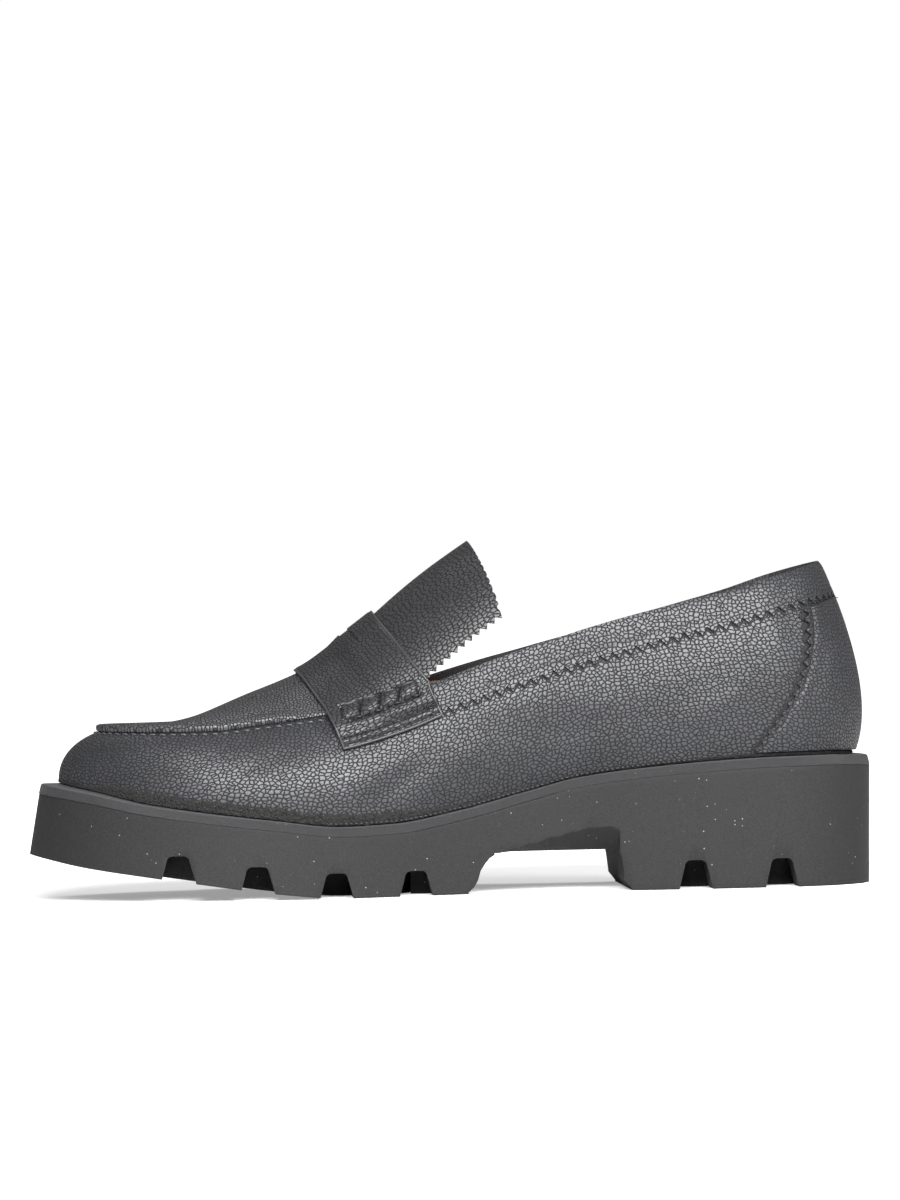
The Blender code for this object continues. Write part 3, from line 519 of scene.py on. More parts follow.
    def lifted(self, turn: np.ndarray, level: np.ndarray, lift: np.ndarray) -> np.ndarray:
        """Point at a distance outside the upper's skin.

        Args:
            turn: place round the shoe.
            level: place up the section.
            lift: distance outwards; negative is inwards.

        Returns:
            The points.
        """
        turn, level = np.broadcast_arrays(np.asarray(turn, float), np.asarray(level, float))
        fold = np.where(turn % 1 > 0.5, 1.0, -1.0)
        at_fold = np.abs(turn % 1 - 0.5) < self.toe_margin
        near_turn = turn + np.where(at_fold, self.toe_margin * fold, 0.0)
        near_level = np.clip(level, self.level_step, 1.95)
        ahead, behind = near_turn + self.turn_step, near_turn - self.turn_step
        around = self.skin(ahead, near_level) - self.skin(behind, near_level)
        above, below = near_level + self.level_step, near_level - self.level_step
        up = self.skin(near_turn, above) - self.skin(near_turn, below)
        normal = np.cross(up, around)
        at_toe = np.abs(turn % 1 - 0.5) < 1e-6
        normal[..., 1] = np.where(at_toe, 0.0, normal[..., 1])
        ridge_x = self.ridge_line(turn)[..., 0]
        slope = smooth(self.ridge, "height", ridge_x + 0.5) - smooth(self.ridge, "height", ridge_x - 0.5)
        on_ridge = np.stack([-slope, np.zeros_like(slope), np.ones_like(slope)], axis=-1)
        normal = np.where(np.expand_dims(level > 1.999, -1), on_ridge, normal)
        normal /= np.linalg.norm(normal, axis=-1, keepdims=True)
        return self.skin(turn, level) + normal * np.expand_dims(np.broadcast_to(lift, turn.shape), -1)

    def crease_depth(self, points: np.ndarray) -> np.ndarray:
        """How far the creases push the skin inwards at these points.

        Args:
            points: points of the skin.

        Returns:
            The depth at each point.
        """
        depth = np.zeros(points.shape[:-1])
        for crease in self.creases:
            angle = math.radians(crease.angle)
            dx, dz = points[..., 0] - crease.x, points[..., 2] - crease.z
            along = dx * math.cos(angle) + dz * math.sin(angle)
            across = dz * math.cos(angle) - dx * math.sin(angle) - self.crease_sag * along**2
            fade = np.exp(-((along / crease.length) ** 2) * self.crease_fade)
            trough = bell(across, crease.width)
            banks = self.bank_height * bell(across, crease.width * self.bank_spread)
            here = step_up(points[..., 1] * crease.side.value, *self.crease_inset)
            depth = depth + crease.depth * (trough - banks) * fade * self.crease_gain * here
        return depth

    def wall_length(self, turns: np.ndarray) -> np.ndarray:
        """Length of each section's wall."""
        marks = self.skin(turns[:, None], np.linspace(0, 1, 12)[None, :])
        return np.linalg.norm(np.diff(marks, axis=1), axis=2).sum(axis=1)

    @cached_property
    def lengths(self) -> dict[str, np.ndarray]:
        """Lengths round the shoe and up its sections, at even turns.

        Returns:
            The lengths by name, and the turns that they are for.
        """
        turns = np.linspace(0, 1, 401)
        belt = self.skin(turns, 0.55)
        passed = passed_along(belt)
        marks = self.skin(turns[:, None], np.linspace(1, 2, 10)[None, :])
        vamp = np.linalg.norm(np.diff(marks, axis=1), axis=2).sum(axis=1)
        return {"turn": turns, "belt": passed, "wall": self.wall_length(turns), "vamp": vamp}

    def at(self, key: str, turns: np.ndarray) -> np.ndarray:
        """A length at each turn; the belt goes on past a whole turn."""
        value = np.interp(turns % 1, self.lengths["turn"], self.lengths[key])
        return value + np.floor(turns) * self.lengths[key][-1] if key == "belt" else value

    def wall_place(self, turns: np.ndarray, levels: np.ndarray) -> np.ndarray:
        """Place of the grain on the walls: length round the shoe and length up its section."""
        turns, levels = np.broadcast_arrays(turns, levels)
        return np.stack([self.at("belt", turns), levels * self.at("wall", turns)], axis=-1)

    def top_place(self, turns: np.ndarray, levels: np.ndarray) -> np.ndarray:
        """Place of the grain on the vamp: length along its ridge and length down from it.

        Args:
            turns: places round the shoe.
            levels: places up the section.

        Returns:
            The places.
        """
        turns, levels = np.broadcast_arrays(turns, levels)
        side = np.where(turns % 1 > 0.5, 1.0, -1.0)
        down = np.clip(2 - levels, 0, 1) * self.at("vamp", turns)
        down = down + np.clip(1 - levels, 0, 1) * self.at("wall", turns)
        return np.stack([self.ridge_line(turns)[..., 0] * self.ridge_stretch, side * down], axis=-1)


LAST = Last()


def weld_grids(
    grids: list[np.ndarray],
    keeps: list | None,
) -> tuple[np.ndarray, list[list[int]], list[list[int]]]:
    """Outward faces of the skin through grids of points, joined where points coincide.

    Args:
        grids: arrays of rows by columns by 3.
        keeps: for each grid, the cells that are kept, or None.

    Returns:
        For each kept corner its place in the stacked grids, the faces on those corners, and the same faces
        on the stacked grids' own points.
    """
    flat = np.concatenate([grid.reshape(-1, 3) for grid in grids])
    _, first, same = np.unique(np.round(flat, 3) + 0.0, axis=0, return_index=True, return_inverse=True)
    index = first[same.reshape(-1)]
    faces, sources, start = [], [], 0
    for number, grid in enumerate(grids):
        rows, columns = grid.shape[:2]
        own = np.arange(start, start + rows * columns).reshape(rows, columns)
        start += rows * columns
        cells = np.stack([own[:-1, :-1], own[:-1, 1:], own[1:, 1:], own[1:, :-1]], axis=-1)
        keep = keeps[number] if keeps else None
        cells = cells.reshape(-1, 4) if keep is None else cells[keep]
        for cell, source in zip(index[cells].tolist(), cells.tolist()):
            kept = [n for n in range(4) if cell[n] != cell[n - 1]]
            if len(kept) > 2:
                faces.append([cell[n] for n in kept])
                sources.append([source[n] for n in kept])
    used = np.unique(np.array([v for face in faces for v in face]))
    place = {old: new for new, old in enumerate(used.tolist())}
    return used, [[place[v] for v in face] for face in faces], sources


@dataclass
class Sheet:
    """A closed sheet: its corners, its faces and the place of its grain at each face's corners."""

    points: np.ndarray
    faces: list[list[int]]
    places: np.ndarray | None


def quilt(
    low: list[np.ndarray],
    high: list[np.ndarray],
    keeps: list | None = None,
    places: list | None = None,
) -> Sheet:
    """Closed sheet between a low and a high skin.

    Args:
        low: grids of points of the inner face.
        high: grids of points of the outer face.
        keeps: for each grid, the cells that are kept, or None.
        places: for each grid, the places of the grain, or None.

    Returns:
        The sheet.
    """
    used, faces, sources = weld_grids(low, keeps)
    count = len(used)
    under = np.concatenate([grid.reshape(-1, 3) for grid in low])[used]
    over = np.concatenate([grid.reshape(-1, 3) for grid in high])[used]
    edges = {}
    for face, source in zip(faces, sources):
        for n in range(len(face)):
            edges[(face[n - 1], face[n])] = (source[n - 1], source[n])
    rims = [edge for edge in sorted(edges) if (edge[1], edge[0]) not in edges]
    solid = [[v + count for v in face] for face in faces] + [face[::-1] for face in faces]
    solid += [[b + count, a + count, a, b] for a, b in rims]
    if places is None:
        return Sheet(np.concatenate([under, over]), solid, None)
    table = np.concatenate([grid.reshape(-1, 2) for grid in places])
    corners = [v for source in sources for v in source] + [v for source in sources for v in source[::-1]]
    for rim in rims:
        a, b = edges[rim]
        corners += [b, a, a, b]
    return Sheet(np.concatenate([under, over]), solid, table[np.array(corners)])


def patch(
    turns: np.ndarray,
    levels: np.ndarray,
    lifts: tuple,
    places: np.ndarray | None = None,
) -> Sheet:
    """Closed sheet on the last between two distances from its skin.

    Args:
        turns: places round the shoe.
        levels: places up the section.
        lifts: distance of the inner and of the outer face.
        places: the places of the grain, if it has one.

    Returns:
        The sheet.
    """
    low, high = (LAST.lifted(turns, levels, lift) for lift in lifts)
    return quilt([low], [high], None, None if places is None else [places])


def add_piece(
    name: str,
    sheet: Sheet,
    finish: Finish,
    replaces: str | None = None,
    angle: float = 42.0,
) -> bpy.types.Object:
    """Object of the shoe from a sheet in millimetres.

    Args:
        name: the piece's name.
        sheet: its corners, faces and grain.
        finish: its finish.
        replaces: the node that it stands for, if it does.
        angle: edges sharper than this stay sharp.

    Returns:
        The new object.
    """
    mesh = bpy.data.meshes.new(name)
    mesh.from_pydata((np.asarray(sheet.points) * MM).tolist(), [], sheet.faces)
    mesh.update()
    if sheet.places is not None:
        grain = mesh.attributes.new(GRAIN, "FLOAT_VECTOR", "CORNER")
        flat = np.zeros((len(sheet.places), 3), np.float32)
        flat[:, :2] = sheet.places
        grain.data.foreach_set("vector", flat.ravel())
    piece = bpy.data.objects.new(name, mesh)
    mesh.materials.append(MATERIALS.of(finish))
    bpy.context.scene.collection.objects.link(piece)
    mesh.shade_smooth()
    mesh.set_sharp_from_angle(angle=math.radians(angle))
    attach(piece, BODY)
    if replaces:
        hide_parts(replaces)
    LOG.info("%s: %d faces", name, len(mesh.polygons))
    return piece


def tube_faces(base: int, rings: int, ring: int) -> list[list[int]]:
    """Faces of a closed tube.

    Args:
        base: number of its first corner.
        rings: how many rings of corners it has.
        ring: how many corners a ring has.

    Returns:
        The faces.
    """
    faces = []
    for start in range(base, base + (rings - 1) * ring, ring):
        for k in range(ring):
            a, b = start + k, start + (k + 1) % ring
            faces.append([a, b, b + ring, a + ring])
    last = base + (rings - 1) * ring
    return faces + [[base + k for k in reversed(range(ring))], [last + k for k in range(ring)]]


def beads(
    name: str,
    starts: np.ndarray,
    ends: np.ndarray,
    ups: np.ndarray,
    width: float,
    finish: Finish,
) -> None:
    """Stitches as one joined mesh of small rounded bars.

    Args:
        name: the piece's name.
        starts: where each stitch goes in.
        ends: where it comes out.
        ups: the skin's normal at each.
        width: the thread's width in millimetres.
        finish: the thread's finish.
    """
    ring, profile = 6, ((0.0, 0.25), (0.15, 0.85), (0.5, 1.0), (0.85, 0.85), (1.0, 0.25))
    bow, sunk = 0.25, 0.12
    corners, faces = [], []
    for start, end, up in zip(starts, ends, ups):
        way = end - start
        side = np.cross(way, up)
        side /= max(np.linalg.norm(side), 1e-9)
        base = len(corners)
        for share, size in profile:
            arch = math.sin(math.pi * share) * bow - sunk
            middle = start + way * share + up * arch * width
            for k in range(ring):
                a = 2 * math.pi * k / ring
                corners.append(middle + (side * math.cos(a) + up * math.sin(a)) * width / 2 * size)
        faces += tube_faces(base, len(profile), ring)
    add_piece(name, Sheet(np.array(corners), faces, None), finish, angle=80.0)


def tubes(name: str, paths: list[np.ndarray], width: float, finish: Finish) -> None:
    """Round cords along paths, as one joined mesh.

    Args:
        name: the piece's name.
        paths: the points of each cord's middle.
        width: the cord's width in millimetres.
        finish: its finish.
    """
    ring = 8
    corners, faces = [], []
    for path in paths:
        way = np.gradient(path, axis=0)
        way /= np.linalg.norm(way, axis=1, keepdims=True)
        side = np.cross(way, (0.0, 0.0, 1.0))
        side /= np.linalg.norm(side, axis=1, keepdims=True)
        up = np.cross(side, way)
        base = len(corners)
        for middle, a, b in zip(path, side, up):
            for k in range(ring):
                angle = 2 * math.pi * k / ring
                corners.append(middle + (a * math.cos(angle) + b * math.sin(angle)) * width / 2)
        faces += tube_faces(base, len(path), ring)
    add_piece(name, Sheet(np.array(corners), faces, None), finish, angle=80.0)


class NodeWriter:
    """Adds nodes to a tree and links them."""

    def __init__(self, tree: bpy.types.NodeTree) -> None:
        """Keeps the tree that is written to."""
        self.tree = tree

    def add(self, kind: str, inputs: dict | None = None, **settings: object) -> bpy.types.Node:
        """Adds a node.

        Args:
            kind: the node's type.
            inputs: for each input by name or number, a value or a socket to link.
            settings: the node's own properties.

        Returns:
            The node.
        """
        node = self.tree.nodes.new(kind)
        for key, value in settings.items():
            setattr(node, key, value)
        for key, value in (inputs or {}).items():
            if isinstance(value, bpy.types.NodeSocket):
                self.tree.links.new(value, node.inputs[key])
            else:
                node.inputs[key].default_value = value
        return node

    def maths(self, operation: str, *values: object) -> bpy.types.NodeSocket:
        """Adds a Math node and returns its output."""
        return self.add("ShaderNodeMath", dict(enumerate(values)), operation=operation).outputs[0]

    def ramp(self, value: object, low: float, high: float) -> bpy.types.NodeSocket:
        """A smooth step of a value from low to high."""
        node = self.add(
            "ShaderNodeMapRange",
            {"Value": value, "From Min": low, "From Max": high},
            interpolation_type="SMOOTHSTEP",
        )
        return node.outputs["Result"]

    def mix(self, factor: object, a: object, b: object) -> bpy.types.NodeSocket:
        """Mix of two colours.

        Args:
            factor: share of the second colour.
            a: the first colour.
            b: the second colour.

        Returns:
            The mixed colour's socket.
        """
        node = self.add("ShaderNodeMix", data_type="RGBA")
        for socket, value in zip((node.inputs[0], node.inputs[6], node.inputs[7]), (factor, a, b)):
            if isinstance(value, bpy.types.NodeSocket):
                self.tree.links.new(value, socket)
            else:
                socket.default_value = value
        return node.outputs[2]

    def blend(self, factor: object, a: object, b: object) -> bpy.types.NodeSocket:
        """Mix of two values."""
        node = self.add("ShaderNodeMix", {0: factor, 2: a, 3: b}, data_type="FLOAT")
        return node.outputs[0]


class Effect:
    """A shader node group with named sockets, built once."""

    name = ""
    inputs: tuple[tuple[str, float], ...] = ()
    outputs: tuple[str, ...] = ()

    def tree(self) -> bpy.types.NodeTree:
        """The group, made on its first use.

        Returns:
            The group.
        """
        if self.name in bpy.data.node_groups:
            return bpy.data.node_groups[self.name]
        tree = bpy.data.node_groups.new(self.name, "ShaderNodeTree")
        tree.interface.new_socket("Vector", in_out="INPUT", socket_type="NodeSocketVector")
        for name, value in self.inputs:
            socket = tree.interface.new_socket(name, in_out="INPUT", socket_type="NodeSocketFloat")
            socket.default_value = value
        for name in self.outputs:
            tree.interface.new_socket(name, in_out="OUTPUT", socket_type="NodeSocketFloat")
        writer = NodeWriter(tree)
        self.write(writer, writer.add("NodeGroupInput").outputs, writer.add("NodeGroupOutput").inputs)
        return tree

    def write(self, w: NodeWriter, given: object, result: object) -> None:
        """Writes the group's nodes.

        Args:
            w: writes to the group.
            given: the group's inputs.
            result: the group's outputs.
        """
        raise NotImplementedError

    def place(self, w: NodeWriter, vector: object, **values: object) -> bpy.types.NodeOutputs:
        """Puts the group in a material and returns its outputs.

        Args:
            w: writes to the material.
            vector: the place that the effect is drawn at.
            values: the group's other inputs.

        Returns:
            The group's outputs.
        """
        node = w.add("ShaderNodeGroup", node_tree=self.tree())
        w.tree.links.new(vector, node.inputs["Vector"])
        for key, value in values.items():
            socket = node.inputs[key.replace("_", " ")]
            if isinstance(value, bpy.types.NodeSocket):
                w.tree.links.new(value, socket)
            else:
                socket.default_value = value
        return node.outputs


class PebbleGrain(Effect):
    """Tumbled leather: domed pebbles of uneven size with narrow valleys between them."""

    name = "pebble_grain"
    inputs = (("Size", 1.5),)
    outputs = ("Height", "Valley", "Tone")

    def write(self, w: NodeWriter, given: object, result: object) -> None:
        """Writes the pebbles, a finer crackle on them and a slow change of tone.

        Args:
            w: writes to the group.
            given: the group's inputs.
            result: the group's outputs.
        """
        flat = {"noise_dimensions": "2D"}
        place = given["Vector"]
        wander = w.add("ShaderNodeTexNoise", {"Vector": place, "Scale": 0.35, "Detail": 2.0}, **flat)
        reach = {0: wander.outputs["Color"], 1: (0.9, 0.9, 0.0)}
        shift = w.add("ShaderNodeVectorMath", reach, operation="MULTIPLY").outputs[0]
        moved = w.add("ShaderNodeVectorMath", {0: place, 1: shift}, operation="ADD").outputs[0]
        scale = w.maths("DIVIDE", 1.0, given["Size"])
        cells = {"Vector": moved, "Scale": scale, "Randomness": 0.88}
        edge = w.add("ShaderNodeTexVoronoi", cells, feature="DISTANCE_TO_EDGE", voronoi_dimensions="2D")
        near = w.add("ShaderNodeTexVoronoi", cells, feature="F1", voronoi_dimensions="2D")
        lot = w.add("ShaderNodeSeparateColor", {0: near.outputs["Color"]}).outputs
        dome = w.maths("MULTIPLY", near.outputs["Distance"], near.outputs["Distance"])
        body = w.maths("SUBTRACT", 0.35, w.maths("MULTIPLY", dome, 0.8))
        body = w.maths("ADD", body, w.maths("MULTIPLY", w.ramp(edge.outputs["Distance"], 0.0, 0.24), 0.65))
        body = w.maths("ADD", body, w.maths("MULTIPLY", lot[0], 0.14))
        fine = w.add("ShaderNodeTexNoise", {"Vector": place, "Scale": 3.2, "Detail": 3.0}, **flat)
        height = w.maths("ADD", body, w.maths("MULTIPLY", fine.outputs[0], 0.2))
        valley = w.maths("SUBTRACT", 1.0, w.ramp(edge.outputs["Distance"], 0.04, 0.28))
        slow = w.add("ShaderNodeTexNoise", {"Vector": place, "Scale": 0.05, "Detail": 3.0}, **flat)
        w.tree.links.new(height, result["Height"])
        w.tree.links.new(valley, result["Valley"])
        w.tree.links.new(slow.outputs[0], result["Tone"])


class Speckle(Effect):
    """Fine light specks and a soft mottle, as in moulded rubber."""

    name = "speckle"
    inputs = (("Specks", 0.1),)
    outputs = ("Speck", "Mottle", "Grit")

    def write(self, w: NodeWriter, given: object, result: object) -> None:
        """Writes rare bright cells, the mottle and a fine grit for bump.

        Args:
            w: writes to the group.
            given: the group's inputs.
            result: the group's outputs.
        """
        cell = w.add("ShaderNodeTexVoronoi", {"Vector": given["Vector"], "Scale": 800.0})
        lot = w.add("ShaderNodeSeparateColor", {0: cell.outputs["Color"]}).outputs
        chosen = w.maths("LESS_THAN", lot[0], given["Specks"])
        near = w.maths("LESS_THAN", cell.outputs["Distance"], w.maths("MULTIPLY", lot[1], 0.15))
        mottle = w.add("ShaderNodeTexNoise", {"Vector": given["Vector"], "Scale": 2300.0, "Detail": 5.0})
        grit = w.add("ShaderNodeTexNoise", {"Vector": given["Vector"], "Scale": 2400.0, "Detail": 3.0})
        w.tree.links.new(w.maths("MULTIPLY", chosen, near), result["Speck"])
        w.tree.links.new(mottle.outputs[0], result["Mottle"])
        w.tree.links.new(grit.outputs[0], result["Grit"])


class Materials:
    """Makes the shoe's materials, each once."""

    def __init__(self) -> None:
        """Starts with no material made."""
        self.made: dict[str, bpy.types.Material] = {}

    def start(self, name: str) -> tuple[bpy.types.Material, NodeWriter, bpy.types.Node, object]:
        """A new material with its shader and the object's own coordinates.

        Args:
            name: the material's name.

        Returns:
            The material, a writer for it, its shader, and the coordinates' socket.
        """
        material = bpy.data.materials.new(name)
        material.use_nodes = True
        writer = NodeWriter(material.node_tree)
        shader = material.node_tree.nodes["Principled BSDF"]
        place = writer.add("ShaderNodeTexCoord").outputs["Object"]
        return material, writer, shader, place

    def of(self, finish: Finish) -> bpy.types.Material:
        """The material of a finish, made on its first use.

        Args:
            finish: the finish.

        Returns:
            Its material.
        """
        if finish.name not in self.made:
            make = {LeatherFinish: self.leather, RubberFinish: self.rubber, ClothFinish: self.cloth}
            self.made[finish.name] = make[type(finish)](finish)
        return self.made[finish.name]

    def leather(self, finish: LeatherFinish) -> bpy.types.Material:
        """Pebbled leather.

        Args:
            finish: how it looks.

        Returns:
            The material.
        """
        material, w, shader, _ = self.start(finish.name)
        place = w.add("ShaderNodeAttribute", attribute_name=GRAIN).outputs["Vector"]
        drawn = w.add("ShaderNodeMapping", {"Vector": place, "Scale": (*finish.stretch, 1.0)}).outputs[0]
        grain = PebbleGrain().place(w, drawn, Size=finish.pebble_mm)
        tone = w.ramp(grain["Tone"], 0.3, 0.7)
        colour = w.mix(tone, tint(finish.colour), tint(finish.colour, 0.7))
        # Painted shade: the valleys between the pebbles are darkened in the colour.
        colour = w.mix(grain["Valley"], colour, tint(finish.colour, 1 - finish.valley_shade))
        rough = w.blend(grain["Valley"], finish.roughness, 0.75)
        rough = w.maths("ADD", rough, w.maths("MULTIPLY", tone, 0.05))
        w.tree.links.new(colour, shader.inputs["Base Color"])
        w.tree.links.new(rough, shader.inputs["Roughness"])
        top = w.maths("SUBTRACT", 1.0, grain["Valley"])
        w.tree.links.new(w.maths("MULTIPLY", top, finish.gloss), shader.inputs["Coat Weight"])
        shader.inputs["Coat Roughness"].default_value = finish.gloss_roughness
        shader.inputs["Specular IOR Level"].default_value = 0.3
        depth = finish.pebble_depth_mm * MM
        bump = w.add("ShaderNodeBump", {"Height": grain["Height"], "Distance": depth, "Strength": 1.0})
        w.tree.links.new(bump.outputs[0], shader.inputs["Normal"])
        return material

    def rubber(self, finish: RubberFinish) -> bpy.types.Material:
        """Speckled rubber, with trimming lines where the finish has them.

        Args:
            finish: how it looks.

        Returns:
            The material.
        """
        material, w, shader, place = self.start(finish.name)
        specks = Speckle().place(w, place, Specks=0.12)
        mottle = w.ramp(specks["Mottle"], 0.35, 0.68)
        colour = w.mix(mottle, tint(finish.colour, 0.75), tint(finish.colour, 1.3))
        height = w.maths("MULTIPLY", specks["Grit"], 0.35)
        if finish.trimmed:
            drawn = w.add("ShaderNodeAttribute", attribute_name="drop").outputs["Fac"]
            noise = {"Vector": place, "Scale": 60.0, "Detail": 2.0}
            slow = w.add("ShaderNodeTexNoise", noise).outputs[0]
            down = w.maths("ADD", w.maths("MULTIPLY", drawn, 16.0), w.maths("MULTIPLY", slow, 2.0))
            wave = w.maths("SINE", w.maths("MULTIPLY", down, 2 * math.pi))
            fine = w.maths("SINE", w.maths("MULTIPLY", down, 17.3))
            lines = w.maths("ADD", w.maths("MULTIPLY", wave, 0.25), w.maths("MULTIPLY", fine, 0.2))
            height = w.maths("ADD", height, lines)
            light = w.ramp(lines, -0.2, 0.5)
            colour = w.mix(w.maths("MULTIPLY", light, 0.5), colour, tint(finish.colour, 1.7))
            # Lighter along the band's rounded top edge.
            top_lightening = w.maths("MULTIPLY", w.maths("SUBTRACT", 1.0, w.ramp(drawn, 0.0, 0.16)), 0.8)
            colour = w.mix(top_lightening, colour, tint(finish.colour, 3.2))
        colour = w.mix(specks["Speck"], colour, tint(finish.speck_colour))
        rough = w.blend(specks["Mottle"], finish.roughness - 0.05, finish.roughness + 0.08)
        w.tree.links.new(colour, shader.inputs["Base Color"])
        w.tree.links.new(rough, shader.inputs["Roughness"])
        shader.inputs["Specular IOR Level"].default_value = finish.specular
        depth = finish.grit_depth_mm * MM
        bump = w.add("ShaderNodeBump", {"Height": height, "Distance": depth, "Strength": 1.0})
        w.tree.links.new(bump.outputs[0], shader.inputs["Normal"])
        return material

    def cloth(self, finish: ClothFinish) -> bpy.types.Material:
        """Thread or smooth lining.

        Args:
            finish: how it looks.

        Returns:
            The material.
        """
        material, w, shader, place = self.start(finish.name)
        scale = 1 / (finish.grain_mm * MM)
        fine = w.add("ShaderNodeTexNoise", {"Vector": place, "Scale": scale, "Detail": 3.0}).outputs[0]
        colour = w.mix(fine, tint(finish.colour, 0.75), tint(finish.colour, 1.15))
        w.tree.links.new(colour, shader.inputs["Base Color"])
        rough = w.blend(fine, finish.roughness - 0.06, finish.roughness + 0.08)
        w.tree.links.new(rough, shader.inputs["Roughness"])
        depth = finish.grain_depth_mm * MM
        bump = w.add("ShaderNodeBump", {"Height": fine, "Distance": depth, "Strength": 1.0})
        w.tree.links.new(bump.outputs[0], shader.inputs["Normal"])
        return material


MATERIALS = Materials()


def mark(piece: bpy.types.Object, name: str, values: np.ndarray) -> None:
    """Stores a value for each corner of a piece, for its material."""
    attribute = piece.data.attributes.new(name, "FLOAT", "POINT")
    attribute.data.foreach_set("value", np.asarray(values, np.float32))


@dataclass
class Upper:
    """The vamp and quarters: leather outside, and the lining inside it."""

    leather_mm: float = 1.2
    wall_mm: float = 2.0
    behind: int = 150
    before: int = 130
    wall_levels: int = 46
    vamp_levels: int = 18
    facing_front: float = 1.4
    facing_back: float = 9.0
    facing_start: tuple[float, float] = (-6.0, 16.0)
    foot_fade: tuple[float, float] = (0.03, 0.12)
    top_fade: tuple[float, float] = (0.88, 0.98)
    pull_waves: tuple[int, int] = (118, 191)
    pull_depth: float = 0.09

    def turns(self) -> tuple[np.ndarray, np.ndarray]:
        """Turns all round, and those of the vamp between the throat's ends.

        Returns:
            The turns of the ring, and those of the vamp.
        """
        throat = float(LAST.seam_turn(LAST.throat_seam_x))
        behind = np.linspace(0, throat, self.behind)
        before = np.linspace(throat, 0.5, self.before)
        ring = np.concatenate([behind[:-1], before, 1 - before[-2::-1], 1 - behind[-2::-1]])
        return ring, np.concatenate([before, 1 - before[-2::-1]])

    def grids(self, lift: float, creased: bool) -> tuple[list[np.ndarray], list[np.ndarray]]:
        """The wall's and the vamp's points at a distance from the skin, and the places of their grain.

        Args:
            lift: distance outside the skin.
            creased: whether the creases are pressed in.

        Returns:
            The two grids of points, and the two of places.
        """
        ring, vamp = self.turns()
        made, places = [], []
        wall_levels = np.linspace(0, 1, self.wall_levels)
        vamp_levels = np.linspace(1, 2, self.vamp_levels)
        for turns, levels in ((ring[:, None], wall_levels[None, :]), (vamp[:, None], vamp_levels[None, :])):
            depth = 0.0
            if creased:
                fade = step_up(levels, *self.foot_fade) * (1 - step_up(levels, *self.top_fade))
                depth = LAST.crease_depth(LAST.skin(turns, levels)) * fade
                depth = depth + self.pulls(turns, levels)
            made.append(LAST.lifted(turns, levels, lift - depth))
            places.append(LAST.wall_place(turns, levels))
        return made, places

    def pulls(self, turns: np.ndarray, levels: np.ndarray) -> np.ndarray:
        """Small upright folds at the toe's foot, where the leather was drawn over the last's edge.

        Args:
            turns: places round the shoe.
            levels: places up the section.

        Returns:
            The height of the folds at each place.
        """
        toe = step_up(LAST.share_of(turns), 0.93, 0.985)
        wide, narrow = (turns * 2 * math.pi * count for count in self.pull_waves)
        waves = np.sin(wide) + 0.6 * np.sin(narrow + 1.3)
        return toe * waves * self.pull_depth * (1 - step_up(levels, 0.12, 0.5)) * (levels <= 1)

    def build(self) -> None:
        """Builds the leather and its lining."""
        (low, _), (high, places) = self.grids(-self.leather_mm, False), self.grids(0.0, True)
        sheet = quilt(low, high, None, places)
        add_piece("upper_leather", sheet, BLACK, "upper")
        self.build_lining()

    def build_lining(self) -> None:
        """Builds the lining and the black facing between it and the topline."""
        ring, vamp = self.turns()
        ring, vamp = ring[::2], vamp[::2]
        top = 1 - (self.facing_depth(ring) - 0.2) / LAST.at("wall", ring)
        throat = (ring >= vamp[0] - 1e-9) & (ring <= vamp[-1] + 1e-9)
        top = np.where(throat, 1.0, top)
        wall_levels = np.linspace(0, 1, 20)[None, :] * top[:, None]
        vamp_levels = np.linspace(1, 2, 10)[None, :]
        grids = []
        for lift in (-self.wall_mm, -self.leather_mm - 0.06):
            wall = LAST.lifted(ring[:, None], wall_levels, lift)
            grids.append([wall, LAST.lifted(vamp[:, None], vamp_levels, lift)])
        add_piece("upper_lining", quilt(*grids), TAN)
        turns = np.linspace(-float(vamp[0]), float(vamp[0]), 360)[:, None]
        depth = self.facing_depth(turns)
        depth = depth + (0.12 - depth) * np.linspace(0, 1, 8)[None, :]
        levels = 1 - depth / LAST.at("wall", turns)
        lifts = (-self.wall_mm - 0.12, -self.leather_mm + 0.2)
        sheet = patch(turns, levels, lifts, LAST.wall_place(turns, levels))
        add_piece("topline_facing", sheet, SMOOTH_FOLD)

    def facing_depth(self, turns: np.ndarray) -> np.ndarray:
        """How far the facing reaches down inside: shallow beside the throat and deep further back."""
        x = LAST.topline_back_x + LAST.seam_span * LAST.share_of(turns)
        return self.facing_front + (self.facing_back - self.facing_front) * step_up(x, *self.facing_start)


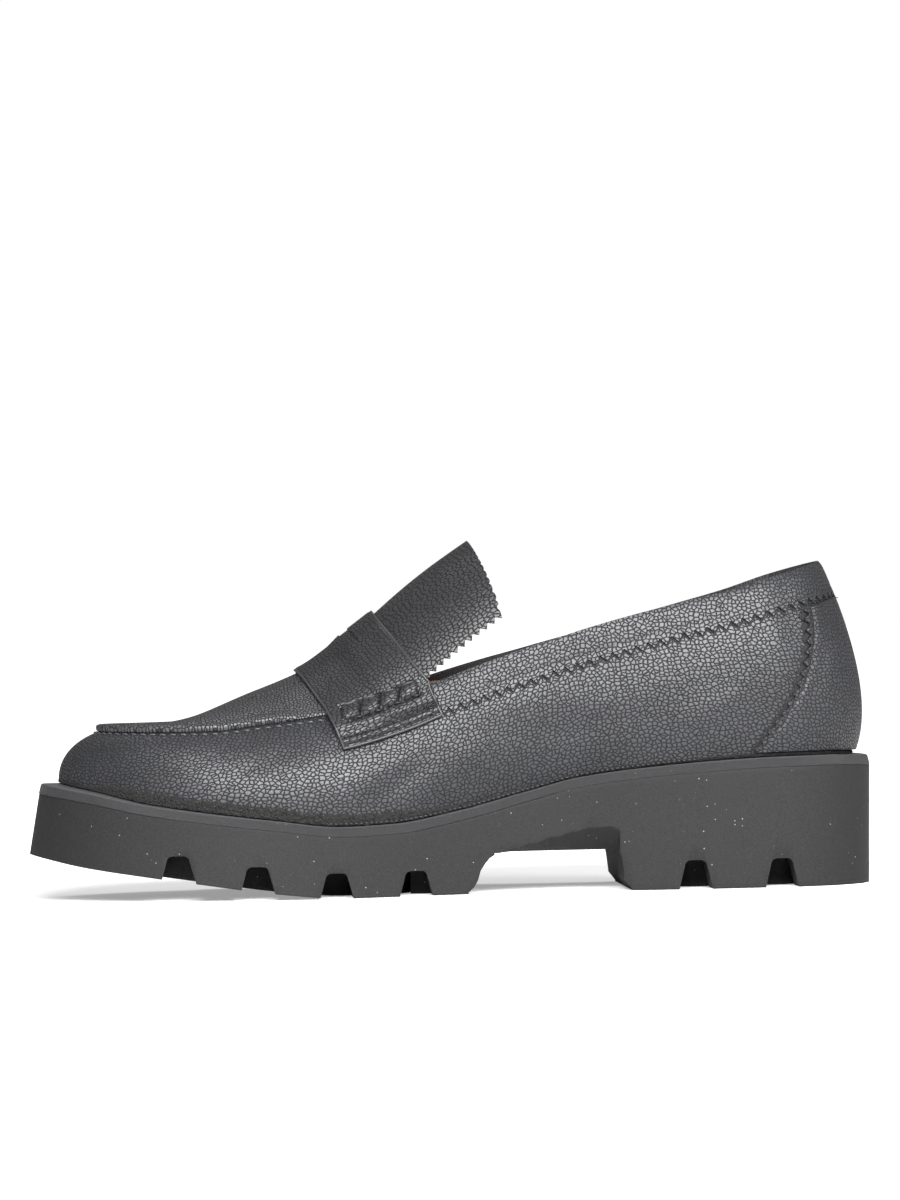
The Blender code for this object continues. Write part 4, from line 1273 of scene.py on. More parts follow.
@dataclass
class LastedEdge:
    """The roughened strip at the upper's foot, where it is drawn in and cemented to the welt."""

    fore_height: float = 3.7
    back_height: float = 1.0
    columns: int = 1500
    rows: int = 9
    seed: int = 7
    hairs: int = 200
    bead_pitch: float = 1.65
    bead_span: tuple[float, float] = (0.22, 0.66)
    waist: tuple[float, float] = (0.46, 0.60)
    toe: tuple[float, float] = (0.90, 0.97)
    toe_left: float = 0.2
    raggedness: float = 0.13
    nap: float = 0.75

    def build(self) -> None:
        """Builds the strip, uneven all along, with an uneven upper edge."""
        rng = np.random.default_rng(self.seed)
        turns = np.linspace(0, 1, self.columns + 1)
        share = LAST.share_of(turns)
        height = self.back_height + (self.fore_height - self.back_height) * step_up(share, *self.waist)
        tip = 1 - (1 - self.toe_left) * step_up(share, *self.toe)
        height = height * tip
        ragged = rng.normal(0.0, self.raggedness, len(turns))
        ragged[-1] = ragged[0]
        top = (height * (1 + ragged)) / LAST.at("wall", turns)
        rows = np.linspace(0, 1, self.rows)[None, :]
        levels = 0.004 + top[:, None] * rows
        rough = rng.uniform(0.0, self.nap, levels.shape) * tip[:, None]
        rough[-1] = rough[0]
        fade = 1 - step_up(rows, 0.8, 1.0)
        sheet = patch(turns[:, None], levels, (0.02, 0.06 + rough * (0.25 + 0.75 * fade)))
        add_piece("lasted_edge", sheet, FIBRE, angle=25.0)
        self.build_hairs(rng)
        self.build_beads()

    def build_hairs(self, rng: np.random.Generator) -> None:
        """Builds loose fibres that lie about on the roughened strip.

        Args:
            rng: the strip's random numbers.
        """
        turns = rng.choice((1, -1), self.hairs) * LAST.turn_of(rng.normal(0.74, 0.075, self.hairs))
        rises = rng.uniform(0.3, 3.4, self.hairs) / LAST.at("wall", turns)
        starts = LAST.lifted(turns, rises, 0.62)
        ups = LAST.lifted(turns, rises, 1.0) - LAST.skin(turns, rises)
        ways = LAST.skin(turns + 0.003, rises) - LAST.skin(turns - 0.003, rises)
        ways = ways / np.linalg.norm(ways, axis=1, keepdims=True)
        ways[:, 2] += rng.normal(0.0, 0.35, self.hairs)
        ends = starts + ways * rng.uniform(0.35, 1.1, (self.hairs, 1))
        beads("loose_fibres", starts, ends, ups, 0.13, HAIR)

    def build_beads(self) -> None:
        """Builds the stitches that show in the gap at the upper's foot, at the waist."""
        fine = np.linspace(*(LAST.turn_of(share) for share in self.bead_span), 800)
        line = LAST.skin(fine, 0.0)
        passed = passed_along(line)
        marks = np.arange(0.0, passed[-1], self.bead_pitch)
        at = np.interp(marks, passed, fine)
        till = np.interp(marks + self.bead_pitch * 0.8, passed, fine)
        at, till = np.concatenate([at, -at]), np.concatenate([till, -till])
        starts, ends = LAST.lifted(at, 0.012, 0.35), LAST.lifted(till, 0.020, 0.35)
        ups = LAST.lifted(at, 0.02, 1.0) - LAST.skin(at, 0.02)
        beads("foot_stitches", starts, ends, ups, 0.95, THREAD)


@dataclass
class Apron:
    """The plug in the vamp, with the raised lip of its seam."""

    thick: float = 1.0
    back_x: float = -38.0
    lip_rise: float = 0.8
    lip_fade: tuple[float, float] = (-58.0, -47.0)
    lip_level: float = 1.0
    lip_spread: float = 0.052
    lip_groove: Groove = Groove(0.03, 0.35)
    edge_round: Groove = Groove(0.012, 0.5)
    edge_level: float = 0.95
    columns: int = 150
    stitch_pitch: float = 3.4

    def turns(self) -> np.ndarray:
        """Turns from the strap round the toe to the strap."""
        inner = np.linspace(float(LAST.seam_turn(self.back_x)), 0.5, self.columns)
        return np.concatenate([inner, 1 - inner[-2::-1]])

    def lift(self, turns: np.ndarray, levels: np.ndarray) -> np.ndarray:
        """How far the apron's outside stands off the upper.

        Args:
            turns: places round the shoe.
            levels: places up the section.

        Returns:
            The distance at each place.
        """
        seam_x = LAST.topline_back_x + LAST.seam_span * LAST.share_of(turns)
        strength = 1 - step_up(seam_x, *self.lip_fade)
        bump = self.lip_rise * bell(levels - self.lip_level, self.lip_spread, 4)
        groove = self.lip_groove.depth * bell(levels - self.lip_level - 0.105, self.lip_groove.width)
        edge = self.edge_round.depth * bell(levels - self.edge_level, self.edge_round.width)
        return LAST.gap + self.thick + strength * (bump - groove) - edge

    @staticmethod
    def place(turns: np.ndarray, levels: np.ndarray) -> np.ndarray:
        """Place of the grain: the plan, unrolled downwards at the sides."""
        x, y, z = np.moveaxis(LAST.skin(turns, levels), -1, 0)
        return np.stack([x, y - np.sign(y) * z * step_up(np.abs(y), 4.0, 14.0)], axis=-1)

    def build(self) -> None:
        """Builds the apron and the row of stitches below its lip."""
        turns = self.turns()[:, None]
        lip = np.linspace(self.edge_level, 1.16, 26)
        levels = np.concatenate([lip, np.linspace(1.2, 2.0, 20)])[None, :]
        sheet = patch(turns, levels, (LAST.gap, self.lift(turns, levels)), self.place(turns, levels))
        add_piece("apron_plug", sheet, APRON_BLACK_PAINTED_LIGHT, "apron")
        self.build_stitches()

    def build_stitches(self) -> None:
        """Builds the seam's stitches, which show as dashes on the vamp under the lip."""
        fine = np.linspace(self.turns()[0], self.turns()[-1], 3000)
        line = LAST.skin(fine, 0.9)
        passed = passed_along(line)
        marks = np.arange(self.stitch_pitch, passed[-1] - self.stitch_pitch, self.stitch_pitch)
        at = np.interp(marks, passed, fine)
        till = np.interp(marks + self.stitch_pitch * 0.62, passed, fine)
        starts, ends = LAST.lifted(at, 0.905, 0.12), LAST.lifted(till, 0.915, 0.12)
        ups = LAST.lifted(at, 0.92, 1.0) - LAST.skin(at, 0.92)
        beads("seam_stitches", starts, ends, ups, 0.6, SEAM_THREAD)


@dataclass
class CollarStrip:
    """The strip round the topline, with its pinked lower edge and its row of stitches."""

    width: float = 11.2
    thick: float = 1.0
    pitch: float = 4.0
    tooth: float = 2.3
    columns: int = 1300
    rows: int = 12
    stitch_rise: float = 2.6
    stitch_pitch: float = 2.9
    # How far the sheet of painted shadow under the pinked edge reaches below the teeth.
    backing: float = 1.0
    fold: Groove = Groove(1.1, 0.35)
    groove: Groove = Groove(0.55, 0.22)
    grain_shift: float = 40.0

    def build(self, strap: "Strap") -> None:
        """Builds the strip, a near-black sheet of painted shadow under its pinked edge, and its stitches.

        Args:
            strap: the saddle strap, which the strip's ends tuck in behind.
        """
        rows = np.linspace(0, 1, self.rows)
        front = LAST.seam_turn(strap.station(1.0, rows) + 2 * LAST.gap)
        span = np.linspace(-1, 1, self.columns)
        turns = span[:, None] * front[None, :]
        middle = turns.mean(axis=1)
        length = LAST.wall_length(middle)
        line = LAST.skin(middle, 0.8)
        along = passed_along(line)
        edge = self.width + self.tooth * (teeth(along, self.pitch) - 0.5)
        low_level = 1 - edge / length
        levels = low_level[:, None] + (0.995 - low_level[:, None]) * rows[None, :]
        depth = (1 - levels) * length[:, None]
        fold = self.fold.depth * bell(depth, self.fold.width)
        groove = self.groove.depth * bell(depth - self.width + self.stitch_rise, self.groove.width)
        lifts = (LAST.gap, LAST.gap + self.thick - fold - groove)
        sheet = patch(turns, levels, lifts, LAST.wall_place(turns, levels) + self.grain_shift)
        add_piece("collar_strip_leather", sheet, BLACK, "collar_strip")
        # A thin near-black sheet just under the pinked teeth: painted shadow along the zigzag edge.
        shade = low_level[:, None] + np.array([[-self.backing, 1.5]]) / length[:, None]
        under = patch(turns[:, :2], shade, (0.02, LAST.gap - 0.02))
        add_piece("collar_strip_painted_shadow", under, SHADE)
        marks = np.arange(2.0, along[-1] - 2.0, self.stitch_pitch)
        at = np.interp(marks, along, middle)
        till = np.interp(marks + self.stitch_pitch * 0.7, along, middle)
        level = 1 - (self.width - self.stitch_rise) / np.interp(marks, along, length)
        lift = LAST.gap + self.thick - 0.34
        starts, ends = LAST.lifted(at, level, lift), LAST.lifted(till, level, lift)
        ups = LAST.lifted(at, level, 1.0) - LAST.skin(at, level)
        beads("collar_stitches", starts, ends, ups, 0.24, THREAD)


@dataclass
class HeelCounter:
    """The outside heel piece, with its pinked and stitched front seam."""

    gap: float = 0.45
    thick: float = 0.9
    foot: float = 0.03
    pitch: float = 3.6
    tooth: float = 1.9
    # How far the sheets of painted shadow under the pinked edge reach past the teeth.
    backing: float = 0.95
    stitch_inset: float = 2.3
    stitch_pitch: float = 2.9
    stitch_length: float = 2.0
    groove: Groove = Groove(0.8, 0.45)
    crease_limit: float = 0.6
    grain_shift: float = 80.0
    columns: int = 160
    rows: int = 110
    edge: tuple = (
        EdgeRow(0.00, 94.5),
        EdgeRow(0.10, 98.5),
        EdgeRow(0.22, 103.5),
        EdgeRow(0.35, 108.5),
        EdgeRow(0.50, 112.0),
        EdgeRow(0.65, 113.6),
        EdgeRow(0.80, 112.8),
        EdgeRow(1.00, 111.5),
    )

    def reach(self, levels: np.ndarray, shift: np.ndarray) -> np.ndarray:
        """Turn of the front edge at each level, moved forwards by a distance.

        Args:
            levels: the levels.
            shift: how far forwards, in millimetres.

        Returns:
            The turns.
        """
        wanted = smooth(self.edge, "x", levels) - shift
        turns = np.linspace(0.01, 0.22, 120)
        stations = LAST.skin(turns[:, None], levels[None, :])[..., 0]
        return np.array([np.interp(-w, -stations[:, k], turns) for k, w in enumerate(wanted)])

    def build(self, strip: CollarStrip) -> None:
        """Builds the counter, near-black sheets of painted shadow under its pinked edge, and the stitches
        along its seam.

        Args:
            strip: the collar strip, which ends just above the counter.
        """
        side = np.linspace(-1, 1, self.columns)
        top = 1 - (strip.width + 0.9) / LAST.wall_length(side * 0.13)
        steps = np.linspace(0, 1, self.rows)
        levels = self.foot + (top[:, None] - self.foot) * steps[None, :]
        mean = levels.mean(axis=0)
        line = LAST.skin(self.reach(mean, 0.0 * mean), mean)
        along = passed_along(line)
        reach = self.reach(mean, self.tooth * (teeth(along, self.pitch) - 0.5))
        even = self.reach(mean, 0.0 * mean)
        outer = np.abs(side)[:, None] ** 6
        turns = side[:, None] * (even[None, :] + (reach - even)[None, :] * outer)
        front = LAST.skin(np.abs(turns), levels)[..., 0] - smooth(self.edge, "x", levels)
        groove = self.groove.depth * bell(front - self.stitch_inset, self.groove.width)
        creases = LAST.crease_depth(LAST.skin(turns, levels)) * 0.6
        creases = np.clip(creases, -self.crease_limit, self.crease_limit)
        lifts = (self.gap, self.gap + self.thick - groove - creases)
        sheet = patch(turns, levels, lifts, LAST.wall_place(turns, levels) + self.grain_shift)
        add_piece("heel_counter_leather", sheet, BLACK, "heel_counter")
        # Thin near-black sheets under the pinked teeth, on both sides: painted shadow along the zigzag
        # edge.
        shift = self.tooth * (teeth(along, self.pitch) - 0.5)
        ribbon = np.stack([self.reach(mean, shift + self.backing), self.reach(mean, shift - 1.2)])
        for sign, name in ((-1, "counter_painted_shadow_outer"), (1, "counter_painted_shadow_inner")):
            ways = ribbon[::-1] if sign > 0 else -ribbon
            under = patch(ways, mean[None, :] + 0 * ways, (0.02, self.gap - 0.03))
            add_piece(name, under, SHADE)
        self.build_stitches(along, mean, float(top.mean()))

    def build_stitches(self, along: np.ndarray, mean: np.ndarray, top: float) -> None:
        """Builds the stitches behind the seam, and the nib of thread at the back of the heel.

        Args:
            along: length passed up the seam.
            mean: the seam's levels there.
            top: level of the counter's upper edge.
        """
        marks = np.arange(3.0, along[-1] - 1.0, self.stitch_pitch)
        starts, ends, ups = [], [], []
        for sign in (1, -1):
            for a, b in zip(marks, marks + self.stitch_length):
                spots = []
                for at in (a, b):
                    level = np.array([np.interp(at, along, mean)])
                    turn = self.reach(level, np.array([-self.stitch_inset])) * sign
                    spots.append((turn, level))
                starts.append(LAST.lifted(*spots[0], self.gap + self.thick - 0.25)[0])
                ends.append(LAST.lifted(*spots[1], self.gap + self.thick - 0.25)[0])
                ups.append((LAST.lifted(*spots[0], 1.0) - LAST.skin(*spots[0]))[0])
        nib = LAST.skin(0.0, top + 0.01)
        starts.append(nib + (0.3, 0.0, 0.2))
        ends.append(nib + (2.6, 0.0, -0.3))
        ups.append(np.array([0.0, 0.0, 1.0]))
        parts = (np.array(part) for part in (starts, ends, ups))
        beads("counter_stitches", *parts, 0.36, THREAD)


@dataclass
class Strap:
    """The saddle strap with its slot, its rolled and whip-stitched tabs and their folded edge."""

    thick: float = 1.3
    step_front: float = 1.0
    step_rear: float = 1.8
    step_span: tuple[float, float] = (0.40, 0.62)
    tab_level_front: float = 0.60
    tab_level_rear: float = 0.73
    rise: tuple[float, float] = (0.26, 0.46)
    roll: tuple[float, float] = (8.6, 14.3)
    roll_rise: float = 1.4
    slot_x: float = -18.8
    slot_width: float = 3.8
    slot_length: float = 34.0
    puffs: int = 4
    roll_ends: tuple[float, float] = (0.11, 0.90)
    slant: float = 0.04
    fold_width: float = 0.95
    stitch_rows: tuple[float, float] = (1.5, 3.7)
    stitch_count: int = 13
    stitch_pitch: float = 0.072
    stitch_length: float = 0.046
    puff_low: float = 0.35
    cut_groove: Groove = Groove(0.055, 0.7)
    border_groove: Groove = Groove(0.45, 0.6)
    row_groove: Groove = Groove(0.28, 0.4)
    row_swell: Groove = Groove(0.8, 0.15)
    side_round: Groove = Groove(0.02, 0.35)
    foot_round: Groove = Groove(0.35, 0.3)
    instep_slope: float = math.radians(37.4)
    grain_shift: float = 25.0
    across: int = 90
    tab_rows: int = 52
    top_rows: tuple[int, int] = (26, 36)
    top_split: float = 1.22
    edges: tuple = (
        StrapRow(0.0, -33.0, -3.5),
        StrapRow(1.0, -41.2, -7.6),
        StrapRow(2.0, -44.5, -5.0),
    )

    def station(self, u: np.ndarray, place: np.ndarray) -> np.ndarray:
        """Station between the strap's front (0) and rear (1) edges, at a place from tab foot to ridge."""
        front, rear = smooth(self.edges, "front", place), smooth(self.edges, "rear", place)
        return front + (rear - front) * u

    def underside(self, u: np.ndarray, spans: np.ndarray) -> np.ndarray:
        """How far the strap's inner face stays off the upper, over the apron and over the tongue."""
        step = self.step_front + (self.step_rear - self.step_front) * step_up(u, *self.step_span)
        return 2 * LAST.gap + step * step_up(spans, *self.rise)

    def relief(self, u: np.ndarray, spans: np.ndarray) -> np.ndarray:
        """Height that the roll, its stitches and the folded edge add to the strap.

        Args:
            u: place from the front to the rear edge.
            spans: place from a tab's foot (0) over the seam (1) to the ridge (2).

        Returns:
            The height in millimetres.
        """
        tab, top = self.lengths(u, spans)
        rise = tab * np.minimum(spans, 1) + top * np.clip(spans - 1, 0, 1)
        middle, half = sum(self.roll) / 2, (self.roll[1] - self.roll[0]) / 2
        inside = np.sqrt(np.clip(1 - ((rise - middle) / half) ** 2, 0, 1))
        first, last = self.roll_ends
        ends = step_up(u, first - 0.02, first + 0.03) * (1 - step_up(u, last - 0.03, last + 0.02))
        slant = np.clip((rise - middle) / half, -1, 1) * self.slant
        phase = np.clip((u - slant - first) / (last - first), 0, 1) * self.puffs
        distance = np.abs(phase - np.round(phase))
        puff = self.puff_low + (1 - self.puff_low) * np.sqrt(np.clip(distance * 2, 0, 1))
        height = self.roll_rise * inside * ends * puff
        swell = bell(rise - sum(self.stitch_rows) / 2, self.row_swell.width, 4)
        cuts = bell(distance, self.cut_groove.width) * np.sqrt(inside) * ends
        borders = sum(bell(rise - edge, self.border_groove.width) for edge in self.roll) * ends
        rows = sum(bell(rise - row, self.row_groove.width) for row in self.stitch_rows)
        sides = bell(u, self.side_round.width) + bell(1 - u, self.side_round.width)
        foot = bell(rise, self.foot_round.width)
        height = height + self.row_swell.depth * swell - self.cut_groove.depth * cuts
        height = height - self.border_groove.depth * borders - self.row_groove.depth * rows
        return height - self.side_round.depth * sides - self.foot_round.depth * foot

    def level_at(self, u: np.ndarray, spans: np.ndarray) -> np.ndarray:
        """Level on the upper at a place from a tab's foot (0) over the seam (1) to the ridge (2)."""
        foot = self.tab_level_front + (self.tab_level_rear - self.tab_level_front) * u
        return np.where(spans < 1, foot + (1 - foot) * spans, spans)

    def lengths(self, u: np.ndarray, spans: np.ndarray) -> tuple[np.ndarray, np.ndarray]:
        """Length of the strap from a tab's foot to the seam, and from there to the ridge."""
        foot, turns = self.level_at(u, 0.0), LAST.seam_turn(self.station(u, spans))
        return (1 - foot) * LAST.at("wall", turns), LAST.at("vamp", turns)

    def span_at(self, u: float, rise: float) -> float:
        """Place at a distance up from a tab's foot."""
        tab, top = self.lengths(u, 0.8)
        return float(rise / tab if rise < tab else 1 + (rise - tab) / top)

    def grid(self, u: np.ndarray, spans: np.ndarray, levels: np.ndarray) -> tuple[np.ndarray, ...]:
        """Inner and outer points of the strap.

        Args:
            u: place from rear to front, a column.
            spans: places from the inner tab over the ridge to the outer one.
            levels: the levels there.

        Returns:
            The low and the high grid, and the places of the grain.
        """
        turns = LAST.seam_turn(self.station(u, spans))
        outer = np.arange(spans.shape[-1]) >= (spans.shape[-1] + 1) // 2
        turns = np.where(outer[None, :], 1 - turns, turns)
        lift = self.underside(u, spans)
        low = LAST.lifted(turns, levels, lift)
        high = LAST.lifted(turns, levels, lift + self.thick + self.relief(u, spans))
        return low, high, LAST.top_place(turns, levels) + self.grain_shift

    def build(self) -> None:
        """Builds the strap and its stitches."""
        u = np.linspace(1, 0, self.across)[:, None]
        tab = np.linspace(0, 1, self.tab_rows)
        near = np.linspace(1, self.top_split, self.top_rows[0])[1:]
        far = np.linspace(self.top_split, 2, self.top_rows[1])[1:]
        half = np.concatenate([tab, near, far])
        spans = np.concatenate([half, half[-2::-1]])[None, :] + 0 * u
        levels = self.level_at(u, spans)
        low, high, places = self.grid(u, spans, levels)
        middle = (high[:-1, :-1] + high[1:, 1:]) / 2
        slot = LAST.lifted(float(LAST.seam_turn(self.slot_x)), 2.0, self.step_front + self.thick)
        along = (middle[..., 0] - slot[0]) * math.cos(self.instep_slope)
        along = along + (middle[..., 2] - slot[2]) * math.sin(self.instep_slope)
        across = middle[..., 1] - slot[1]
        keep = ~((np.abs(along) < self.slot_width / 2) & (np.abs(across) < self.slot_length / 2))
        sheet = quilt([low], [high], [keep], [places])
        add_piece("strap_leather", sheet, STRAP_BLACK_PAINTED_SHADE, "saddle_strap")
        self.build_backing()
        self.build_stitches()

    def build_backing(self) -> None:
        """Builds the strap's second layer, which shows at the bottom of the slot."""
        u = np.linspace(0.74, 0.26, 20)[:, None]
        half = np.linspace(1.3, 2.0, 30)
        spans = np.concatenate([half, half[-2::-1]])[None, :] + 0 * u
        turns = LAST.seam_turn(self.station(u, spans))
        turns = np.where(np.arange(spans.shape[1])[None, :] >= len(half), 1 - turns, turns)
        lift = self.underside(u, spans)
        lifts = (lift + 0.05, lift + self.thick - 0.45)
        sheet = patch(turns, spans, lifts, LAST.top_place(turns, spans))
        add_piece("strap_backing", sheet, STRAP_BLACK_PAINTED_SHADE)

    def spot(self, u: float, span: float, sign: int, lift: float) -> np.ndarray:
        """Point on a tab's outside.

        Args:
            u: place from the front to the rear edge.
            span: place from the tab's foot (0) over the seam (1) to the ridge (2).
            sign: 1 on the inner side and -1 on the outer side.
            lift: distance over the strap's outside.

        Returns:
            The point.
        """
        turn = LAST.seam_turn(self.station(u, span))
        base = self.underside(u, span) + self.thick
        return LAST.lifted(turn * sign, self.level_at(u, span), base + lift)

    def stitch(self, sign: int, start: tuple, end: tuple) -> tuple:
        """A stitch on a tab.

        Args:
            sign: 1 on the inner side and -1 on the outer side.
            start: place from front to rear, distance up from the foot, and lift.
            end: the same for its other end.

        Returns:
            Its start, its end and the skin's normal.
        """
        points = [self.spot(u, self.span_at(u, rise), sign, lift) for u, rise, lift in (start, end)]
        span = self.span_at(start[0], start[1])
        return (*points, self.spot(start[0], span, sign, 1.0) - self.spot(start[0], span, sign, 0.0))

    def build_stitches(self) -> None:
        """Builds the tabs' rows of stitches, and the cords above and the knots below each roll."""
        rows, cords, knots = [], [], []
        first, last = self.roll_ends
        width = (last - first) / self.puffs
        for sign in (1, -1):
            for row in self.stitch_rows:
                for k in range(self.stitch_count):
                    a = 0.04 + k * self.stitch_pitch
                    rows.append(self.stitch(sign, (a, row, -0.25), (a + self.stitch_length, row, -0.25)))
            for k in range(self.puffs):
                a = first + width * k + self.slant + 0.01
                low, high = self.roll
                cords.append(self.stitch(sign, (a, high, 0.2), (a + width * 0.72, high - 0.2, 0.2)))
                at = first + width * (k + 1) - self.slant
                turning = (at + 0.02, low - 0.1, 0.15)
                knots.append(self.stitch(sign, (at - 0.035, low + 0.2, 0.15), turning))
                knots.append(self.stitch(sign, turning, (at + 0.045, low + 1.6, 0.3)))
        beads("tab_stitches", *(np.array(part) for part in zip(*rows)), 0.42, THREAD)
        beads("roll_knots", *(np.array(part) for part in zip(*knots)), 0.75, THREAD)
        beads("roll_cords", *(np.array(part) for part in zip(*cords)), 0.9, SMOOTH_FOLD)
        self.build_folds()

    def build_folds(self) -> None:
        """Builds the smooth folded edges: each tab's foot, and the strap's front and rear edge."""
        foot = 0.01
        paths = []
        for sign in (1, -1):
            paths.append([self.spot(u, foot, sign, -0.5) for u in np.linspace(0.0, 1.0, 40)])
            for u in (0.004, 0.996):
                paths.append([self.spot(u, span, sign, -0.6) for span in np.linspace(foot, 2.0, 90)])
        cords = [np.array(path) for path in paths]
        tubes("strap_folds", cords, self.fold_width, SMOOTH_FOLD)


@dataclass
class Tongue:
    """The tongue with its pinked edge, and the lining under it."""

    thick: float = 1.6
    length: float = 40.7
    corner_cut: float = 8.0
    bow: float = 0.9
    slope: float = math.radians(37.4)
    start: float = 0.5
    root_level: float = 1.5
    side_level: float = 1.04
    pitch: float = 2.6
    tooth: float = 0.8
    side_pitch: float = 3.0
    side_tooth: float = 1.0
    trim: float = 1.0
    half_arc: float = 26.0
    arc_step: float = 0.52
    grain_shift: float = 60.0

    def point(self, outer: np.ndarray, level: np.ndarray, along: np.ndarray, lift: float) -> np.ndarray:
        """Point of the tongue: on the vamp before the throat, and along the instep's slope behind it.

        Args:
            outer: whether a place is on the outer half.
            level: place up the section.
            along: length behind the throat, negative before it.
            lift: distance off the throat's arch.

        Returns:
            The point at each place.
        """
        seam_x = LAST.throat_seam_x + np.minimum(along, 0.0) * math.cos(self.slope) / LAST.ridge_per_seam
        turns = LAST.seam_turn(seam_x)
        turns = np.where(outer, 1 - turns, turns)
        way = np.array([math.cos(self.slope), 0.0, math.sin(self.slope)])
        free = np.expand_dims(np.maximum(along, 0.0), -1)
        bow = self.bow * np.sin(math.pi * np.clip(free / self.length, 0, 1))
        return LAST.lifted(turns, level, lift) + free * way + bow * np.array([-way[2], 0.0, way[0]])

    def grids(
        self,
        lifts: tuple[float, float],
        pinked: bool,
    ) -> tuple[list[np.ndarray], np.ndarray, np.ndarray]:
        """The tongue's skins and the cells that are kept.

        Args:
            lifts: distances of the skins from the throat's arch.
            pinked: whether the edge is pinked, or cut straight just inside the notches.

        Returns:
            The grids, the kept cells and the places of the grain.
        """
        half = np.linspace(self.side_level, 2.0, 74)
        levels = np.concatenate([half, half[-2::-1]])[None, :]
        outer = (np.arange(levels.size) >= half.size)[None, :]
        q = (2 - levels) / (2 - self.side_level)
        arc = self.arc_step * np.arange(1, levels.size + 1)[None, :]
        bite = self.tooth * (teeth(arc, self.pitch) - 1.0) if pinked else -1.1 * self.tooth
        end = self.length - self.corner_cut * q**2 - self.trim * q**6 + 0.4 + bite
        root = np.array([-11.0, -5.5, self.start])[:, None]
        free = np.linspace(0, 1, 92)[1:, None]
        along = np.concatenate([root + 0 * end, self.start + (end - self.start) * free])
        levels = np.broadcast_to(levels, along.shape).copy()
        outer = np.broadcast_to(outer, along.shape)
        edge = self.side_tooth * (teeth(along, self.side_pitch) - 1.0) + 0.5 if pinked else -0.55
        near = np.clip((1.5 - levels) / (1.5 - self.side_level), 0, 1)
        levels = levels - edge / self.half_arc * near**2 * (along > self.start)
        grids = [self.point(outer, levels, along, lift) for lift in lifts]
        turns = LAST.seam_turn(np.full(along.shape, LAST.throat_seam_x))
        places = LAST.top_place(np.where(outer, 1 - turns, turns), levels)
        places[..., 0] = along + self.grain_shift
        keep = np.ones((along.shape[0] - 1, along.shape[1] - 1), bool)
        keep[:2] = (levels[0, :-1] >= self.root_level) & (levels[0, 1:] >= self.root_level)
        return [grid[::-1] for grid in grids], keep[::-1], places[::-1]

    def build(self) -> None:
        """Builds the tongue's leather and its lining."""
        (low, high), keep, places = self.grids((0.9, LAST.gap + self.thick), True)
        sheet = quilt([low], [high], [keep], [places])
        add_piece("tongue_leather", sheet, TONGUE_BLACK, "tongue")
        (low, high), keep, _ = self.grids((LAST.gap, 0.85), False)
        add_piece("tongue_lining", quilt([low], [high], [keep]), TAN)


@dataclass
class Insole:
    """The sock inside the shoe, with a rounded edge."""

    thick: float = 2.6
    clearance: float = 0.9
    seat: float = 0.1

    def build(self) -> None:
        """Builds the sock."""
        count = 240
        turns = np.arange(count) / count
        ledge = smooth(LAST.sole, "ledge", LAST.share_of(turns)) + 2.0 + self.clearance
        low = LAST.welt_top(turns) + LAST.gap + self.seat
        rings = []
        for inset, rise in ((0.0, 0.0), (0.0, 1.7), (0.25, 2.3), (0.9, 2.6), (6.0, 2.5)):
            rings.append(with_height(LAST.sole_edge(turns, -ledge - inset), low + rise))
        add_piece("insole_sock", stack(rings), TAN, "insole")


def stack(rings: list[np.ndarray]) -> Sheet:
    """Solid through rings of points stacked upwards, closed by rungs from side to side.

    Args:
        rings: rings of points, each mirrored about its first point.

    Returns:
        The solid.
    """
    count = len(rings[0])
    faces = []
    for level in range(len(rings) - 1):
        base = level * count
        for i in range(count):
            j = (i + 1) % count
            faces.append([base + i, base + count + i, base + count + j, base + j])
    for base, down in ((0, True), ((len(rings) - 1) * count, False)):
        for i in range(count // 2):
            rung = [base + i, base + i + 1, base + (count - i - 1) % count, base + (count - i) % count]
            face = [v for n, v in enumerate(rung) if v != rung[n - 1]]
            faces.append(face if down else face[::-1])
    return Sheet(np.concatenate(rings), faces, None)


